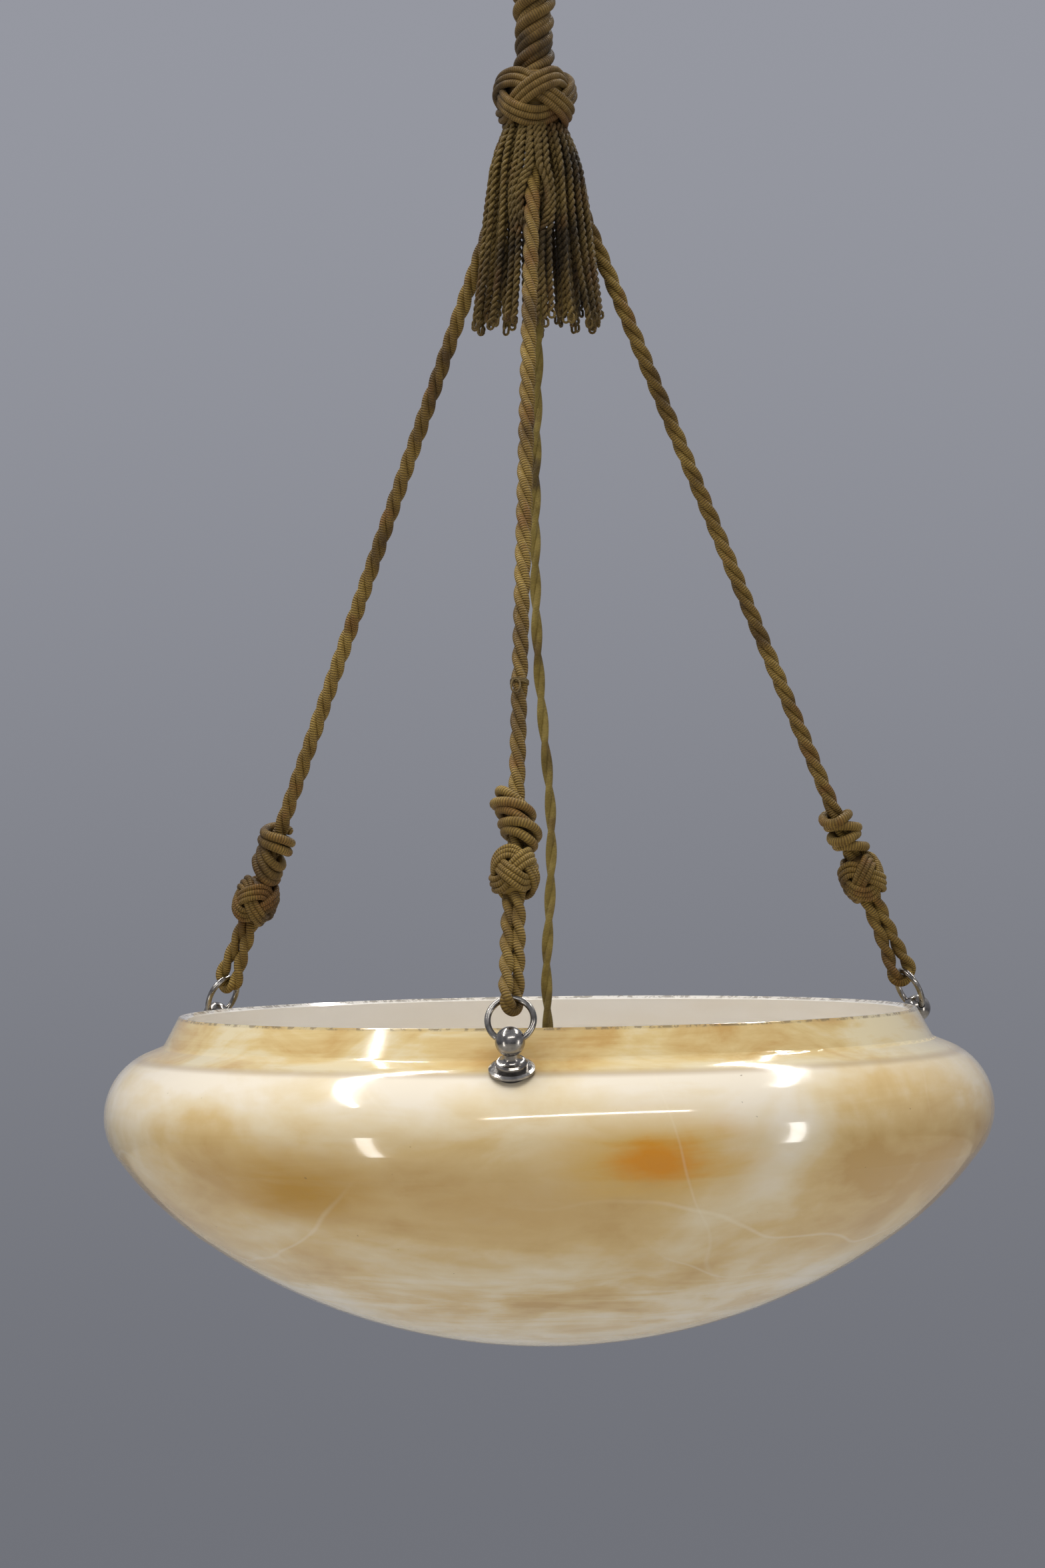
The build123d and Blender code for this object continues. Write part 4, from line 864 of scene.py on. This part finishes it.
# The clouds lean to the darker tones in the belly's middle, with level streaks near the bottom
level = spread(tree, height, *glassHeights["whole"])
level.node.interpolation_type = "LINEAR"
lean = ramp(tree, level, [
    (0.0, 0.44), (0.14, 0.48), (0.30, 0.58), (0.46, 0.63), (0.60, 0.60), (0.73, 0.48), (0.86, 0.38), (1.0, 0.37),
])
low = spread(tree, height, *glassHeights["low"])
mixed = reckon(tree, "ADD", lean, swung(broad, 1.15))
mixed = reckon(tree, "ADD", mixed, swung(middling, 0.42))
mixed = reckon(tree, "ADD", mixed, swung(small, 0.12))
mixed = reckon(tree, "ADD", mixed, times(swung(streaks, 1.0), reckon(tree, "MULTIPLY_ADD", low, 0.85, 0.14)))
colour = ramp(tree, mixed, [
    (0.32, glassTones["milk"]), (0.46, glassTones["cream"]), (0.60, glassTones["honey"]), (0.76, glassTones["caramel"]),
])
for spot in glassSpots:
    colour = blended(tree, spotMask(spot), colour, glassTones[spot["tone"]])
for vein in veins:
    along = reckonVector(tree, "DOT_PRODUCT", place, vein["way"], output=1)
    wanderPlace = stretched(tree, place, (1, 1, 1), shift=(vein["at"] * 9, 0.3, vein["waver"] * 50))
    shownPlace = stretched(tree, place, (1, 1, 1), shift=(0.9, vein["at"] * 5, 0.1))
    wander = swung(cloud(tree, wanderPlace, 9, 2, 0.4), vein["waver"] * 2)
    offset = reckon(tree, "ADD", reckon(tree, "SUBTRACT", along, vein["at"]), wander)
    thin = spread(tree, reckon(tree, "ABSOLUTE", offset), 0.0014, 0.0, 0.0, vein["strong"])
    shown = spread(tree, cloud(tree, shownPlace, 7, 1, 0.4), 0.46, 0.62)
    colour = blended(tree, times(thin, shown), colour, glassTones["vein"])
specks = spread(tree, cloud(tree, place, 420, 1, 0.4), 0.80, 0.86, 0.0, 0.55)
colour = blended(tree, specks, colour, glassTones["speck"])

# Collar, and the dark line at its foot
collarColour = ramp(tree, reckon(tree, "ADD", middling, swung(streaks, 0.5)), [
    (0.38, glassTones["collarPale"]), (0.52, glassTones["collar"]), (0.70, glassTones["caramel"]),
])
colour = blended(tree, spread(tree, height, *glassHeights["collar"]), colour, collarColour)
underFoot, overFoot = [spread(tree, height, *glassHeights[side]) for side in ("underFoot", "overFoot")]
colour = blended(tree, times(times(underFoot, overFoot), 0.45), colour, glassTones["foot"])

# Inside, where the surface faces the bowl's middle: the glass's own pale tone, made paler still as painted light
# against the shade in the bowl. And the chipped cut edge
outward = reckonVector(tree, "SUBTRACT", place, (0, 0, glassHeights["middle"]))
facing = reckonVector(tree, "DOT_PRODUCT", coordinates.outputs["Normal"], outward, output=1)
insideShade = spread(tree, broad, 0.4, 0.7, 0.0, 0.25)
# Painted light: the inside tone is lighter than the glass's own inside, to make up for the shade within the bowl
insideToneAndPaintedLight = blended(tree, insideShade, glassTones["inside"], glassTones["cream"])
colour = blended(tree, spread(tree, facing, 0.0, -0.02), colour, insideToneAndPaintedLight)
cutEdge = spread(tree, height, *glassHeights["cutEdge"])
chipped = spread(tree, cloud(tree, place, 300, 4, 0.7), 0.48, 0.56)
colour = blended(tree, times(cutEdge, reckon(tree, "MULTIPLY_ADD", chipped, 0.5, 0.2)), colour, glassTones["chip"])
waves = relief(tree, broad, glassGloss["waves"], glassGloss["strength"])
fill(tree, shader, {
    "Base Color": colour, "Roughness": spread(tree, small, 0.35, 0.7, *glassGloss["roughness"]),
    "IOR": glassGloss["ior"], "Coat Weight": glassGloss["coat"], "Coat Roughness": glassGloss["coatRoughness"],
    "Normal": relief(tree, small, glassGloss["pits"], glassGloss["strength"], waves),
})
finishNode("glass_bowl", opal)
print("glass finished")


# Floor, background and light

room = {
    "floor": 2.5, "floorHeight": -1.3, "floorTone": (190, 188, 184), "floorDark": (185, 183, 179),
    "floorRoughness": 0.75, "upper": (150, 152, 161), "lower": (112, 114, 121), "horizon": (-0.16, 0.16),
    "sky": 0.42, "skyColour": (1.0, 0.985, 0.96, 1),
}
bpy.ops.object.select_all(action="DESELECT")
bpy.ops.mesh.primitive_circle_add(vertices=96, radius=room["floor"], fill_type="NGON", location=(0, 0, 0))
floor = bpy.context.object
floor.name = "floor"
for vertex in floor.data.vertices:
    vertex.co.z = room["floorHeight"]
paint, tree, shader = startMaterial("floorPaint")
spots = cloud(tree, objectPlace(tree), 6, 4, 0.5)
floorColour = ramp(tree, spots, [(0.3, tone(*room["floorDark"])), (0.7, tone(*room["floorTone"]))])
fill(tree, shader, {"Base Color": floorColour, "Roughness": room["floorRoughness"]})
floor.data.materials.append(paint)

# The camera and the reflections see the wall's tones, and the lamp is lit by the sky's
world = bpy.data.worlds.new("room")
bpy.context.scene.world = world
world.use_nodes = True
tree = world.node_tree
softLight = tree.nodes["Background"]
fill(tree, softLight, {"Color": room["skyColour"], "Strength": room["sky"]})
direction = put(tree, "ShaderNodeSeparateXYZ", None, {0: put(tree, "ShaderNodeTexCoord").outputs["Generated"]})
upward = spread(tree, direction.outputs[2], *room["horizon"])
wallColour = ramp(tree, upward, [(0.0, tone(*room["lower"])), (1.0, tone(*room["upper"]))])
wall = put(tree, "ShaderNodeBackground", None, {"Color": wallColour, "Strength": 1.0})
rays = put(tree, "ShaderNodeLightPath").outputs
mirrored = reckon(tree, "MAXIMUM", rays["Is Glossy Ray"], rays["Is Transmission Ray"])
seen = reckon(tree, "MAXIMUM", rays["Is Camera Ray"], mirrored)
chosen = put(tree, "ShaderNodeMixShader", None, {0: seen, 1: softLight.outputs[0], 2: wall.outputs[0]})
tree.links.new(chosen.outputs[0], tree.nodes["World Output"].inputs["Surface"])

lamps = {  # the long tubes lie level under the ceiling; aim is where a lamp faces, and turn is a level tube's own way
    "nearTube": {"place": (0.40, -3.03, 1.4), "turn": 20.8, "size": (3.32, 0.05), "power": 62, "shows": "gloss"},
    "leftTube": {"place": (-1.20, 0.09, 1.4), "turn": 58.0, "size": (3.2, 0.055), "power": 52, "shows": "gloss"},
    "rightTube": {"place": (1.05, 1.07, 1.4), "turn": 116.0, "size": (2.45, 0.06), "power": 48, "shows": "gloss"},
    "leftWindow": {"place": (-0.92, -0.95, -0.95), "aim": (-0.08, -0.18, -0.645), "size": (0.10, 0.6), "power": 2.0,
                   "shows": "both"},
    "rightWindow": {"place": (1.45, -0.80, -0.75), "aim": (0.1, -0.17, -0.64), "size": (0.13, 0.7), "power": 3.2,
                    "shows": "both"},
    "softOverhead": {"place": (-0.5, -0.7, 2.2), "aim": (0, 0, -0.5), "size": (2.6, 2.6), "power": 96,
                     "shows": "light"},
}
lampColour = (1.0, 0.98, 0.95)
for name, lampSet in lamps.items():
    data = bpy.data.lights.new(name, "AREA")
    data.shape = "RECTANGLE"
    data.size, data.size_y = lampSet["size"]
    data.energy = lampSet["power"]
    data.color = lampColour
    light = bpy.data.objects.new(name, data)
    bpy.context.scene.collection.objects.link(light)
    light.location = lampSet["place"]
    if "turn" in lampSet:
        light.rotation_euler = (0, 0, math.radians(lampSet["turn"]))
    else:
        facing = Vector(lampSet["aim"]) - Vector(lampSet["place"])
        light.rotation_euler = facing.to_track_quat("-Z", "Y").to_euler()
    light.visible_camera = False
    light.visible_diffuse = lampSet["shows"] != "gloss"
    light.visible_glossy = lampSet["shows"] != "light"
bpy.context.scene.view_settings.view_transform = "Standard"
print("room lit")
